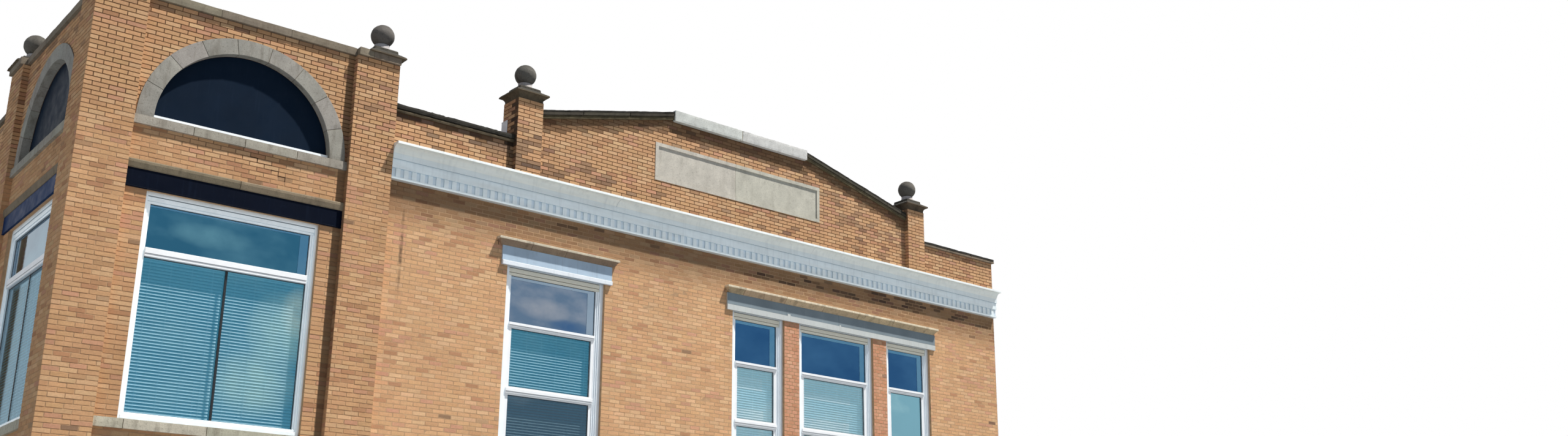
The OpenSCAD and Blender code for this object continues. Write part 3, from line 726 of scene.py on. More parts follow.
def lay(shape, rows, plane, facing, palette=BUFF, top=None, proud=3.6, shade=PLAIN):
    """Adds the bricks of one face. The facing is front, back, left or right."""
    if top is not None:
        ends = top(rows[:, 0]), top(rows[:, 1])
        rows = rows[np.minimum(*ends) * 0.5 + np.maximum(*ends) * 0.5 > rows[:, 2] + 12]
    n = len(rows)
    u0, u1, z0, z1, d0, d1 = rows.T
    inset = 2.5
    out = rng.normal(proud, 0.2 * proud, n)
    u = np.stack([u0 + inset, u1 - inset, u1 - inset, u0 + inset, u0, u1, u1, u0], 1)
    z = np.stack([z0 + inset, z0 + inset, z1 - inset, z1 - inset, z0, z0, z1, z1], 1)
    w = np.stack([out, out, out, out, -d0, -d1, -d1, -d0], 1)
    w[:, :4] += rng.normal(0, 0.5, (n, 4))
    z[:, :4] += rng.normal(0, 0.6, (n, 1))
    if top is not None:
        z = np.minimum(z, np.maximum(top(u), z0[:, None] + 1))
    deep = plane + w if facing in ("back", "right") else plane - w
    points = np.stack([u, deep, z] if facing in ("front", "back") else [deep, u, z], 2)
    quads = BRICK if facing in ("front", "right") else BRICK[:, ::-1]
    quads = (quads[None] + 8 * np.arange(n)[:, None, None]).reshape(-1, 4)
    kinds, odds = (np.array(column) for column in zip(*palette))
    place = (points.mean(1) / 1000).T
    pick = np.clip(rng.random(n) + 0.10 * waves(*place), 0, 0.999)
    tone = kinds[np.searchsorted(np.cumsum(odds) / odds.sum(), pick)]
    tone = tone * np.array(shade) * rng.normal(1, 0.04, (n, 1)) * rng.normal(1, 0.01, (n, 3))
    soot = soot_on(*place)[:, None]
    # Soot, then the painted shade under the cornice and the copings.
    tone = (tone * (1 - soot) + SOOT * soot) * grimed(*place)[:, None]
    shape.add(points.reshape(-1, 3), quads, np.repeat(np.clip(tone, 0.01, 1), 8, 0))


def arch_holes():
    """Rows of brick that the arch's ring stands in."""
    holes = []
    middle = ARCH_R + ARCH_RING / 2
    k = math.floor(SPRING / COURSE)
    while k * COURSE < SPRING + middle:
        z = (k + 0.5) * COURSE - SPRING
        if z < middle:
            half = math.sqrt(middle**2 - max(z, 0) ** 2)
            rows = (k * COURSE + 8, (k + 1) * COURSE - 8)
            holes.append((TOWER_MID - half, TOWER_MID + half, *rows, "stop"))
        k += 1
    return holes


def tower_bricks():
    shape = Shape("brick")
    bands = (600, 3930)
    holes = [
        (*TOWER_WINDOW, *GROUND, "open"),
        (*bands, GROUND[0] - SILL_H, GROUND[0], "cover"),
        (*TOWER_LINTEL, DOOR_HEAD, DOOR_HEAD + LINTEL_H, "cover"),
        (*TOWER_WINDOW, UPPER_SILL, TOWER_HEAD, "open"),
        (*bands, UPPER_SILL - SILL_H, UPPER_SILL, "cover"),
        (*bands, TOWER_HEAD, 8165, "cover"),
        (*bands, SPRING - SILL_H, SPRING, "cover"),
    ] + arch_holes()
    faces = [
        (0, PIER_W, 0, "front", (4, 4), ()),
        (PANEL_END, TOWER_W, 0, "front", (4, 4), ()),
        (PIER_W, PANEL_END, RECESS, "front", (0, 0), holes),
        (0, RECESS, PIER_W, "right", (4, 0), ()),
        (0, RECESS, PANEL_END, "left", (4, 0), ()),
        (0, RECESS, TOWER_W, "right", (4, 0), ()),
    ]
    other = {"front": "left", "left": "front", "right": "back"}
    for turn in (False, True):
        for u0, u1, plane, facing, ends, gaps in faces:
            rows = bonded(u0, u1, 0, TOWER_TOP, gaps, phase=HALF_PITCH * turn, ends=ends)
            lay(shape, rows, plane, other[facing] if turn else facing, shade=TOWER_SHADE)
    for facing in ("right", "back"):
        rows = bonded(RECESS, WALL_BACK, LEFT_TOP, TOWER_TOP)
        lay(shape, rows, TOWER_W, facing, shade=TOWER_SHADE)
        rows = bonded(WALL_BACK, TOWER_W, ROOF_TOP, TOWER_TOP, ends=(0, 4))
        lay(shape, rows, TOWER_W, facing, shade=TOWER_SHADE)
    # The stepped crack under the arch.
    steps = (2376, 2484, 2700, 2808, 2916)
    for x0, x1, k in zip(steps, steps[1:], (128, 127, 126, 125)):
        z = k * COURSE
        shape.box(x0, x1, 95.5, 100.2, z - 5, z + 5, tone=CRACK)
        shape.box(x1 - 5, x1 + 5, 95.5, 100.2, (k - 1) * COURSE, z + 5, tone=CRACK)
    piece("bricks_tower", shape)


def plain_holes(middles):
    holes = []
    for middle, (sill, head) in itertools.product(middles, (GROUND, UPPER)):
        holes += [
            (*wide(middle, PLAIN_W), sill, head, "open"),
            (*wide(middle, PLAIN_W, SILL_MORE), sill - SILL_H, sill, "cover"),
            (*wide(middle, PLAIN_W, LINTEL_MORE), head, head + LINTEL_H, "cover"),
        ]
    return holes


def front_bricks():
    shape = Shape("brick")
    over_door = (DOOR_HEAD, DOOR_HEAD + LINTEL_H)
    holes = [
        (*wide(*SINGLE), -20, DOOR_HEAD, "open"),
        (*wide(*SINGLE, LINTEL_MORE), *over_door, "cover"),
        (11345, 16830, *over_door, "cover"),
        (*SINGLE_BOARD, FRONT_HEAD, LABEL_TOP, "cover"),
        (11305, 16870, FRONT_HEAD, LABEL_TOP, "cover"),
        (4400, 18900, CORNICE_Z + 25, CORNICE_TOP - 25, "cover"),
    ]
    for columns, sill, head in ((COLUMNS, *UPPER), (COLUMNS[1:], *GROUND)):
        for column in columns:
            holes.append((*wide(*column), sill, head, "open"))
            holes.append((*wide(*column, SILL_MORE), sill - SILL_H, sill, "cover"))
    mullions = [(wide(*a)[1], wide(*b)[0]) for a, b in zip(COLUMNS[1:], COLUMNS[2:])]
    skip = [(*mullion, *UPPER, "stop") for mullion in mullions]
    rows = bonded(TOWER_W, BUILDING_W, 0, CORNICE_TOP, holes + skip, phase=42, ends=(0, 4))
    lay(shape, rows, RECESS, "front", proud=1.1)
    # The mullions are laid in short pink bricks.
    pitch = 126.7
    for a, b in mullions:
        rows = bonded(a, b, UPPER_SILL, FRONT_HEAD + 20, pitch=pitch, phase=a % pitch)
        rows[:, 4][rows[:, 0] < a + 1] = DEEP
        rows[:, 5][rows[:, 1] > b - 1] = DEEP
        lay(shape, rows, RECESS, "front", palette=PINK, proud=2.2)
    piece("bricks_front", shape)


def gable_bricks():
    shape = Shape("brick")
    piers = [(m - PIER_HALF, m + PIER_HALF) for m in PIER_MIDDLES]
    stops = [(*pier, 9100, 10700, "stop") for pier in piers]
    holes = stops + [(*PLAQUE, "cover")]
    highest = SLOPE_Z[1] + 20
    rows = bonded(TOWER_W, BUILDING_W, CORNICE_TOP - 12, highest, holes, phase=42, ends=(0, 4))
    lay(shape, rows, RECESS, "front", top=gable_top, shade=GABLE_SHADE)
    rows = bonded(TOWER_W, INNER_END_X, ROOF_TOP, highest, stops, phase=42)
    lay(shape, rows, WALL_BACK, "back", top=gable_top)
    for a, b in piers:
        for facing, plane, u0, u1, shift in (
            ("front", 0, a, b, 0),
            ("back", PIER_BACK, a, b, 0),
            ("left", a, 0, PIER_BACK, HALF_PITCH),
            ("right", b, 0, PIER_BACK, HALF_PITCH),
        ):
            rows = bonded(u0, u1, CORNICE_TOP, PIER_TOP, phase=(u0 + shift) % PITCH, ends=(4, 4))
            lay(shape, rows, plane, facing, shade=GABLE_SHADE)
    piece("bricks_gable", shape)


def plain_wall(name, u0, u1, plane, facing, inside, holes=(), phase=0.0, ends=(4, 4), proud=2.5):
    """One of the other walls, with the inside of its parapet: its ends, place and facing."""
    shape = Shape("brick")
    rows = bonded(u0, u1, 0, PARAPET_TOP, holes, phase=phase, ends=ends)
    lay(shape, rows, plane, facing, proud=proud)
    v0, v1, within, inward = inside
    lay(shape, bonded(v0, v1, ROOF_TOP, PARAPET_TOP), within, inward)
    piece(name, shape)


def other_bricks():
    x0, x1, y1 = WALL_BACK, INNER_END_X, INNER_END_Y
    inside = (TOWER_W, y1, x0, "right")
    holes = plain_holes(SIDE_MIDDLES)
    plain_wall("bricks_side", TOWER_W, BUILDING_D, RECESS, "left", inside, holes, ends=(0, 4))
    inside = (x0, x1, y1, "front")
    holes = plain_holes(REAR_MIDDLES)
    plain_wall("bricks_rear", RECESS, BUILDING_W, BUILDING_D, "back", inside, holes, 60)
    inside = (x0, y1, x1, "left")
    plain_wall(
        "bricks_party_wall", RECESS, BUILDING_D, BUILDING_W, "right", inside, phase=160, proud=3.6
    )


tower_bricks()
front_bricks()
gable_bricks()
other_bricks()

# ------------ stones

SILL_TONE = srgb(186, 178, 160)
MORTAR_TONE = srgb(136, 125, 108)
GAP = 7
CAP_HALF = 230
SILL_Y, LINTEL_Y = (50, 210), (80, 210)
COPING_Y = (RECESS - OVERHANG, WALL_BACK + OVERHANG)


def varied(tone, amount=0.07):
    return tuple(np.clip(np.array(tone) * rng.normal(1, amount) * rng.normal(1, 0.012, 3), 0.02, 1))


def split(low, high, joints=(), length=None):
    """Ends of the blocks between joints, or of blocks of about one length."""
    if length:
        count = max(1, round((high - low) / length))
        joints = [low + (high - low) * i / count + rng.uniform(-25, 25) for i in range(1, count)]
    edges = [low, *joints, high]
    return list(zip(edges, edges[1:]))


def jointed(x, joints=(), length=None):
    """Ends of the blocks of a row, less half a joint where they meet."""
    for a, b in split(*x, joints, length):
        yield a + (GAP / 2 if a > x[0] else 0), b - (GAP / 2 if b < x[1] else 0)


def course(shape, x, y, z, tone, joints=(), length=None, core=True, **worn):
    """Blocks side by side along X, on a thinner bed of mortar that shows in the joints."""
    for a, b in jointed(x, joints, length):
        shape.rough(a, b, *y, *z, varied(tone), **worn)
    if core:
        sides = (x[0] + 6, x[1] - 6, y[0] + 8, y[1] - 8, z[0] + 8, z[1] - 8)
        shape.rough(*sides, MORTAR_TONE, 400, 0.1)


def sill(shape, x, top, joints=(), length=None, tone=SILL_TONE):
    course(shape, x, SILL_Y, (top - SILL_H, top), tone, joints, length)


def lintel(shape, x, low, joints=(), core=True):
    course(shape, x, LINTEL_Y, (low, low + LINTEL_H), SILL_TONE, joints, core=core)


def arch(shape, a0, a1, steps, tone, r0, r1, y0, y1, worn=False):
    """A length of the tower's round arch."""
    rings = []
    for j in range(steps + 1):
        a = a0 + (a1 - a0) * j / steps
        edge = 3.0 if worn and j in (0, steps) else 0.0
        ring = []
        for r, y in ((r0, y1), (r1, y1), (r1, y0), (r0, y0)):
            chip = 1.6 * noise.noise(Vector((a * 9, r / 100, y / 50))) if worn else 0
            x, z = TOWER_MID - (r + chip) * math.cos(a), SPRING + (r + chip) * math.sin(a)
            ring.append((x, y + edge + chip, z))
        rings.append(ring)
    shape.stack(rings, tone)


def arches():
    stones, joint = 9, 0.0022
    step = math.pi / stones
    for face in ("front", "side"):
        shape = Shape()
        shape.face = face
        for i in range(stones):
            a0 = i * step + (joint if i else 0)
            a1 = (i + 1) * step - (joint if i < stones - 1 else 0)
            tone = varied(srgb(158, 153, 143), 0.05)
            arch(shape, a0, a1, 8, tone, ARCH_R, ARCH_R + ARCH_RING, 80, 208, worn=True)
        arch(shape, 0, math.pi, 48, MORTAR_TONE, ARCH_R + 7, ARCH_R + ARCH_RING - 6, 90, 206)
        name = face + "_arch"
        piece(name + "_stones", shape, [name], bevel=4)


def tower_stones():
    sills, bands, arch_sills = Shape(), Shape(), Shape()
    panel = (PIER_W, PANEL_END)
    for face in ("front", "side"):
        sills.face = bands.face = arch_sills.face = face
        sill(arch_sills, panel, SPRING, (1534, 2270, 3047), tone=srgb(164, 157, 144))
        sill(sills, panel, UPPER_SILL, (1090, 2183, 3276))
        sill(sills, panel, GROUND[0], (1180, 2265, 3350))
        for a, b in jointed(panel, (2267,)):
            profile = ((8040, 62), (8052, 56), (8118, 41), (8150, 40), (8165, 46))
            bands.loft([(z, a, b, y, 210) for z, y in profile], varied(srgb(134, 120, 100)))
        bands.loft([(8043, 704, 3826, 68, 206), (8160, 704, 3826, 52, 206)], MORTAR_TONE)
    piece("arch_sill_stones", arch_sills, ["arch_sills"])
    piece("tower_sill_stones", sills, ["tower_sills"])
    piece("tower_band_stones", bands, ["tower_bands"], bevel=3)


def label(name, ends, joints, tone):
    """A long hood stone that draws in towards its foot, at its ends too, under a lip painted paler
    as a painted highlight of its sunlit edge.
    """
    shape = Shape()
    x0, x1 = ends
    foot = [(8048, 84), (8060, 74), (8100, 44), (8139, 8)]
    top = [(8136, 0), (8171, 0), (8178, 7)]
    for a, b in split(x0, x1, joints):
        own = varied(tone, 0.05)
        # The lip's paler tone is a painted highlight.
        pale = tuple(0.5 * (np.array(own) + np.array(srgb(250, 240, 214))))
        for profile, color in ((foot, own), (top, pale)):
            levels = []
            for z, e in profile:
                left, right = e if a == x0 else GAP / 2, e if b == x1 else GAP / 2
                levels.append((z, a + left, b - right, e - 10, 210))
            shape.loft(levels, color)
    core = ((8052, 84), (8100, 46), (8140, 8), (8172, 6))
    shape.loft([(z, x0 + e + 9, x1 - e - 9, e - 3, 204) for z, e in core], MORTAR_TONE)
    piece(name + "_stones", shape, [name], bevel=3)


def sills_and_lintels():
    shape = Shape()
    for column in COLUMNS:
        sill(shape, wide(*column, SILL_MORE), UPPER_SILL, length=1050)
    for column in COLUMNS[1:]:
        sill(shape, wide(*column, SILL_MORE), GROUND[0], length=1050)
    course(shape, wide(*SINGLE), (50, WALL_BACK), (0, 150), srgb(158, 152, 142), (7670,))
    piece("front_sill_stones", shape, ["front_sills"])

    shape = Shape()
    for x, face, joints in (
        (TOWER_LINTEL, "front", (1700, 2830)),
        (TOWER_LINTEL, "side", (1700, 2830)),
        (wide(*SINGLE, LINTEL_MORE), "front", (7670,)),
        (wide(*TRIPLE, LINTEL_MORE), "front", (12400, 13500, 14700, 15800)),
    ):
        shape.face = face
        lintel(shape, x, DOOR_HEAD, joints)
    piece("ground_lintel_stones", shape, ["ground_lintels"])

    sills, lintels = Shape(), Shape()
    for face, middles in (("side", SIDE_MIDDLES), ("rear", REAR_MIDDLES)):
        sills.face = lintels.face = face
        for m, (low, head) in itertools.product(middles, (GROUND, UPPER)):
            sill(sills, wide(m, PLAIN_W, SILL_MORE), low, (m,))
            lintel(lintels, wide(m, PLAIN_W, LINTEL_MORE), head, core=False)
    piece("plain_sill_stones", sills, ["plain_sills"])
    piece("plain_lintel_stones", lintels, ["plain_lintels"])


def tower_coping():
    """Courses of coping between the piers, strips before the piers and the inner corner."""
    shape = Shape()
    z = (TOWER_TOP, TOWER_TOP + 125)
    tone = srgb(132, 121, 104)
    cap = 2 * CAP_HALF
    inner, outer = 4150, TOWER_W + OVERHANG
    for face in ("front", "side"):
        shape.face = face
        course(shape, (PIER_W, PANEL_END), COPING_Y, z, tone, length=1040, wear=4)
        for x0, x1, back, cell, wear in (
            (cap, PIER_W, COPING_Y[1], 70, 4),
            (PANEL_END, TOWER_W - cap, COPING_Y[1], 70, 4),
            (0, cap, 0, 50, 3),
            (TOWER_W - cap, TOWER_W, 0, 50, 3),
        ):
            shape.rough(x0, x1, -OVERHANG, back, *z, varied(tone), cell, wear)
        course(shape, (COPING_Y[1], inner), (inner, outer), z, tone, length=1000, wear=4)
    shape.face = "front"
    shape.rough(inner, outer, inner, outer, *z, varied(tone), wear=4)
    piece("tower_coping_stones", shape, ["tower_coping"])


def gable_copings():
    a, b, c, d = SLOPE_X
    low, high, under = SLOPE_Z
    rise = (high - low) / (b - a)
    shape = Shape("dark_stone")
    for x, foot, joints in (((a, b), a, (8010, 9000)), ((c, d), d, (14861, 15500))):

        def warp(p, foot=foot):
            return Vector((p.x, p.y, p.z + low + abs(p.x - foot) * rise))

        y = (32, 480)
        course(shape, x, y, (0, 58), srgb(74, 69, 58), joints, core=False, wear=4, warp=warp)
        shape.rough(*x, *y, 58, 95, varied(srgb(50, 47, 42)), 60, 5, warp)
        shape.rough(*x, 50, 99, -62, 0, varied(srgb(96, 86, 64)), 60, 3, warp)
    piece("gable_coping_stones", shape, ["gable_copings"])

    shape = Shape("plaque_stone")
    tone = srgb(204, 203, 198)
    course(shape, (b, c), (18, 480), (under, 11282), tone, (11599,), wear=5, cell=45)
    piece("gable_top_stone_blocks", shape, ["gable_top_stone"])


def low_copings():
    shape = Shape("dark_stone")
    x = (TOWER_W, PIER_MIDDLES[0] - PIER_HALF)
    shape.rough(*x, *COPING_Y, LEFT_TOP, LEFT_TOP + 86, srgb(52, 49, 43), 40, 8)
    shape.rough(*x, 62, 99, LEFT_TOP - 60, LEFT_TOP, srgb(84, 73, 56), 40, 6)
    # Uneven lumps along its top.
    for x0, x1 in split(*x, length=150):
        if rng.random() < 0.7:
            top = LEFT_TOP + 94 - rng.uniform(0, 12)
            tone = varied(srgb(44, 41, 36), 0.15)
            shape.rough(x0, x1, 60, 300, LEFT_TOP + 60, top, tone, 30, 8)
    for foot, top, tone, wear in ((0, 40, srgb(132, 118, 100), 3), (40, 95, srgb(50, 46, 40), 5)):
        z = (PARAPET_TOP + foot, PARAPET_TOP + top)
        x = (PIER_MIDDLES[1] + PIER_HALF, BUILDING_W + OVERHANG)
        course(shape, x, COPING_Y, z, tone, length=760, core=False, wear=wear)
    piece("front_coping_stones", shape, ["front_copings"])

    shape = Shape("dark_stone")
    z = (PARAPET_TOP, PARAPET_TOP + 95)
    tone = srgb(112, 102, 88)
    near, right, rear = COPING_Y[1], BUILDING_W + OVERHANG, BUILDING_D + OVERHANG
    for face, x in (("side", (TOWER_W, rear)), ("rear", (near, right))):
        shape.face = face
        course(shape, x, COPING_Y, z, tone, length=900, wear=3)
    shape.face = "front"
    for y0, y1 in split(near, INNER_END_Y - OVERHANG, length=900):
        shape.rough(INNER_END_X - OVERHANG, right, y0 + 3, y1 - 3, *z, varied(tone), wear=3)
    piece("rear_coping_stones", shape, ["rear_copings"])


# Each pier's middle, top and half width.
NEAR, FAR = CAP_HALF, TOWER_W - CAP_HALF
PIERS = [(*at, TOWER_TOP, CAP_HALF) for at in ((NEAR, NEAR), (FAR, NEAR), (NEAR, FAR))]
PIERS += [(m, PIER_HALF, PIER_TOP, PIER_HALF) for m in PIER_MIDDLES]


def circle(x, y, z, r, sides):
    turns = np.linspace(0, math.tau, sides + 1)[:-1]
    return [(x + r * math.cos(t), y + r * math.sin(t), z) for t in turns]


def finials():
    """The stone balls, each turned in two halves, on their pale collars."""
    balls, collars = Shape("dark_stone"), Shape("plaque_stone")
    rings, sides = 40, 56
    r_ball = 187
    collar = [(120, 250), (150, 258), (150, 278), (128, 296), (116, 330), (120, 356), (104, 366)]
    for x, y, z, _ in PIERS:
        centre = z + 525
        points = [(x, y, centre - r_ball - 1)]
        for i, j in itertools.product(range(1, rings), range(sides)):
            polar, turn = math.pi * i / rings, math.tau * j / sides
            flat = math.sin(polar)
            way = Vector((flat * math.cos(turn), flat * math.sin(turn), -math.cos(polar)))
            groove = 5.0 * math.exp(-(((way.x * 0.8 + way.y * 0.6) / 0.035) ** 2))
            swell = 2.5 * noise.noise(way * 4 + Vector((x, y, z)) / 300)
            r = r_ball - groove - 1.5 + swell - 1.2 * abs(noise.noise(way * 17))
            points.append((x + r * way.x, y + r * way.y, centre + r * way.z))
        points.append((x, y, centre + r_ball + 1))
        faces, last = [], len(points) - 1
        for j in range(sides):
            k = (j + 1) % sides
            faces += [(0, 1 + k, 1 + j), (last, last - sides + j, last - sides + k)]
            for p in range(1, 1 + sides * (rings - 2), sides):
                faces.append((p + j, p + k, p + sides + k, p + sides + j))
        balls.add(points, faces, varied(srgb(108, 103, 96), 0.05))
        edges = [circle(x, y, z + h, r, 32) for r, h in collar]
        collars.stack(edges, varied(srgb(186, 180, 176), 0.03))
    for name, shape in (("stone_balls", balls), ("ball_collars", collars)):
        piece(name, shape, ["ball_finials"], smooth=True)


def caps():
    """Worn pier caps: a cove out to the lip, a weathered top and a square block."""
    shape = Shape("dark_stone")
    out, lip, block = 82, 135, 210
    n = 12
    cove = [
        (out * (1 - math.cos(a)), (lip - 25) * math.sin(a)) for a in np.linspace(0, math.pi / 2, 8)
    ]
    for x, y, z, w in PIERS:
        stone, lichen = np.array(varied(srgb(98, 86, 70), 0.05)), np.array(srgb(72, 68, 60))
        levels = [(w + o, h, stone * (0.9 + 0.1 * o / out)) for o, h in cove]
        levels += [(w + out - 2, lip - 14, stone * 0.9), (w + out - 5, lip - 2, lichen)]
        for t in (0.12, 0.4, 0.7, 0.94):
            tone = lichen * (1 + 0.25 * rng.uniform(-1, 1))
            levels.append((w + out + (block - w - out) * t, lip + 65 * t, tone))
        levels += [(block - 4, 206, lichen * 1.3), (block - 5, 232, lichen * 1.2)]
        levels += [(block - 12, 251, lichen), (block - 60, 253, lichen)]
        rings, tones = [], []
        for half, h, tone in levels:
            ring = []
            for side, i in itertools.product(range(4), range(n)):
                t = 2 * i / n - 1
                px, py = ((t, -1), (1, t), (-t, 1), (-1, -t))[side]
                p = Vector((x + half * px, y + half * py, z + h))
                wear = 3.0 + 3.5 * noise.noise(p / 40)
                wear += (3.0 if i == 0 else 0) * (1.5 + noise.noise(p / 25))
                wear *= 0.2 if h < 5 else 1
                rise = 1.5 * noise.noise(p / 30) if 5 < h < 250 else 0
                ring.append((p.x - wear * px, p.y - wear * py, p.z + rise))
                tones.append(tone * (1 + 0.22 * noise.noise(p / 60)))
            rings.append(ring)
        shape.stack(rings, np.clip(tones, 0.01, 1))
    piece("pier_cap_stones", shape, ["pier_caps"])


def plaque():
    """The bare name plaque: two slabs with a raised border round a tooled sunk field."""
    shape = Shape("plaque_stone")
    x0, x1, z0, z1 = PLAQUE
    middle, border = 11490, 70
    for a, b in ((x0, middle - 2), (middle + 2, x1)):
        tone = varied(srgb(198, 192, 178), 0.02)
        shape.rough(a, b, 106, 158, z0, z1, tone, 120, 0.6)
        upright = (a, a + border) if a == x0 else (b - border, b)
        for span, low, high in (
            ((a, b), z0, z0 + border),
            ((a, b), z1 - border, z1),
            (upright, z0 + border, z1 - border),
        ):
            shape.rough(*span, 85, 106, low, high, tone, 60, 1.5)
    piece("plaque_slabs", shape, ["name_plaque"])


arches()
tower_stones()
label("single_label", wide(*SINGLE, 221), (7120, 7780), srgb(148, 126, 105))
triple_joints = (11680, 12700, 13680, 14620, 15600)
label("triple_label", wide(*TRIPLE, 190), triple_joints, srgb(196, 172, 138))
sills_and_lintels()
tower_coping()
gable_copings()
low_copings()
finials()
caps()
plaque()

# ------------ windows

GLASS_Y = (213, 221)
SASH_W, BEAD = 58, 8
WHITE, WARM_BOUNCE_WHITE, BRIGHT = "white_frame_paint", "cream_head_paint", "bright_frame_paint"
SASH, DARK = "sash_paint", "gasket_rubber"
# A blind's own tone, and the bright tone of its cords and of its painted highlight patches.
BLUE_SLATS = (srgb(186, 232, 244), srgb(206, 236, 244))
PALE_SLATS = (srgb(190, 228, 240), srgb(254, 255, 255))
FRONT_BARS = [(5689, 88), (6778, 76)]
# The height, front and look of each rail at a window's head, from the top down.
HEADS = {
    "plain": [(42, 150, WHITE), (28, 166, WHITE), (25, 180, WHITE)],
    "tower": [(58, 150, BRIGHT), (8, 196, DARK), (62, 166, BRIGHT), (37, 180, BRIGHT)],
    "front": [(90, 150, WHITE), (12, 200, DARK), (66, 168, WARM_BOUNCE_WHITE)]
    + [(8, 186, DARK), (46, 178, WARM_BOUNCE_WHITE)],
}


def window(frames, panes, middle, width, low, head, glass, bars=(), top="plain", edges=None):
    """One window: cased frame in steps, bars, sashes, gaskets and panes."""
    x0, x1 = wide(middle, width)
    white = BRIGHT if top == "tower" else WHITE
    out, mid, side = (70, 100, 130) if top == "front" else (42, 70, 95)
    frames.box(x0, x0 + out, 150, 268, low, head, white)
    frames.box(x1 - out, x1, 150, 268, low, head, white)
    frames.box(x0 + out, x1 - out, 146, 268, low, low + 62, white)
    frames.box(x0 + out, x1 - out, 160, 266, low + 62, low + 100, white)
    low += 100
    z = head
    for high, y, look in HEADS[top]:
        frames.box(x0 + out, x1 - out, y, 262, z - high, z, look)
        z -= high
    for a, b, y, back in ((out, mid, 166, 264), (mid, side, 180, 263)):
        frames.box(x0 + a, x0 + b, y, back, low, z, white)
        frames.box(x1 - b, x1 - a, y, back, low, z, white)
    x0, x1 = x0 + side, x1 - side
    for at, t in bars:
        foot, step, crest = at - t / 2, at - 0.18 * t, at + t / 2
        frames.box(x0, x1, 172, 252, foot, crest, SASH)
        frames.box(x0, x1, 152, 172, step + 5, crest - 5, SASH)
        frames.box(x0, x1, 160, 172, foot + 3, step - 3, SASH)
    feet = [low] + [at + t / 2 for at, t in bars]
    tops = [at - t / 2 for at, t in bars] + [z]
    for i, (z0, z1) in enumerate(zip(feet, tops)):
        a, b = x0, x1
        if top != "tower" and i < len(bars):
            front = 184 if i else 192
            a, b, z0, z1 = frames.ring(a, b, z0, z1, SASH_W, 26, 22, front, 244, SASH)
        g0, g1, l0, l1 = frames.ring(a, b, z0, z1, BEAD, BEAD, BEAD, 204, 212, DARK)
        panes.box(a - 3, b + 3, *GLASS_Y, z0 - 3, z1 + 3, glass[min(i, len(glass) - 1)])
    if edges:
        aside, over, look = edges
        panes.box(g1 - aside, g1, 208, 212, l0, l1 - over, look)
        panes.box(g0, g1, 208, 212, l1 - over, l1, look)


def slats(shape, x0, x1, z0, z1, rise, tones, patches=()):
    """A Venetian blind: head and bottom rails, curved slats and their cords. The slats are bright
    inside a patch, a painted highlight, and in their own tone elsewhere."""
    own, bright = tones
    pitch = 45.5
    shape.box(x0, x1, 271, 294, z1 - 26, z1, tone=own)
    shape.box(x0, x1, 275, 291, z0, z0 + 14, tone=own)
    arc = [(272, 0), (278, 0.36 * rise), (285, 0.72 * rise), (293, rise)]
    outline = [(y + 1.2, h - 1.2) for y, h in arc] + arc[::-1]
    z = z0 + 22
    while z < z1 - 30 - rise:
        spans = [(x0 + 3, x1 - 3, own)]
        for p0, p1, low, high in patches:
            if low < z < high:
                spans = [(x0 + 3, p0 - 1, own), (p0, p1, bright), (p1 + 1, x1 - 3, own)]
        tip, tone = rng.normal(0, 1.0), rng.normal(1, 0.04)
        for a, b, color in spans:
            if b > a:
                ends = [
                    [(x, y, z + h + tip * (x - x0) / (x1 - x0)) for y, h in outline] for x in (a, b)
                ]
                shape.stack(ends, np.clip(np.array(color) * tone, 0, 1))
        z += pitch
    count = max(2, round((x1 - x0) / 300))
    for i in range(count):
        x = x0 + (x1 - x0) * (i + 0.5) / count
        shape.box(x - 1.5, x + 1.5, 268.5, 270.5, z0 + 6, z1 - 8, tone=bright)


def finish_windows(kind, frames, panes, blinds=None):
    piece(kind + "_window_frames", frames, [kind + "_frames"], bevel=2)
    piece(kind + "_panes", panes, [kind + "_glass"])
    if blinds:
        piece(kind + "_slats", blinds, [kind + "_blinds"])


def tower_windows():
    frames, panes, blinds = Shape(WHITE), Shape("plain_glass"), Shape("slat_enamel")
    width = TOWER_WINDOW[1] - TOWER_WINDOW[0]
    reach, half_post = width / 2 - 75, 18
    glass, bars, edges = ("lower_glass", "upper_glass"), [(6916, 130)], (130, 26, "edge_glass")
    for face in ("front", "side"):
        frames.face = panes.face = blinds.face = face
        at = (frames, panes, TOWER_MID, width)
        window(*at, UPPER_SILL, TOWER_HEAD, glass, bars, "tower", edges)
        window(*at, *GROUND, ["plain_glass"])
        for x0, x1 in ((-reach, -half_post), (half_post, reach)):
            slats(blinds, TOWER_MID + x0, TOWER_MID + x1, 4692, 6868, 30, BLUE_SLATS)
        # A dark strip where the two blinds meet: painted shade of the dark room seen through the
        # gap.
        frames.box(TOWER_MID - 17, TOWER_MID + 17, 205, 212, 4690, 6851, DARK)
    finish_windows("tower", frames, panes, blinds)


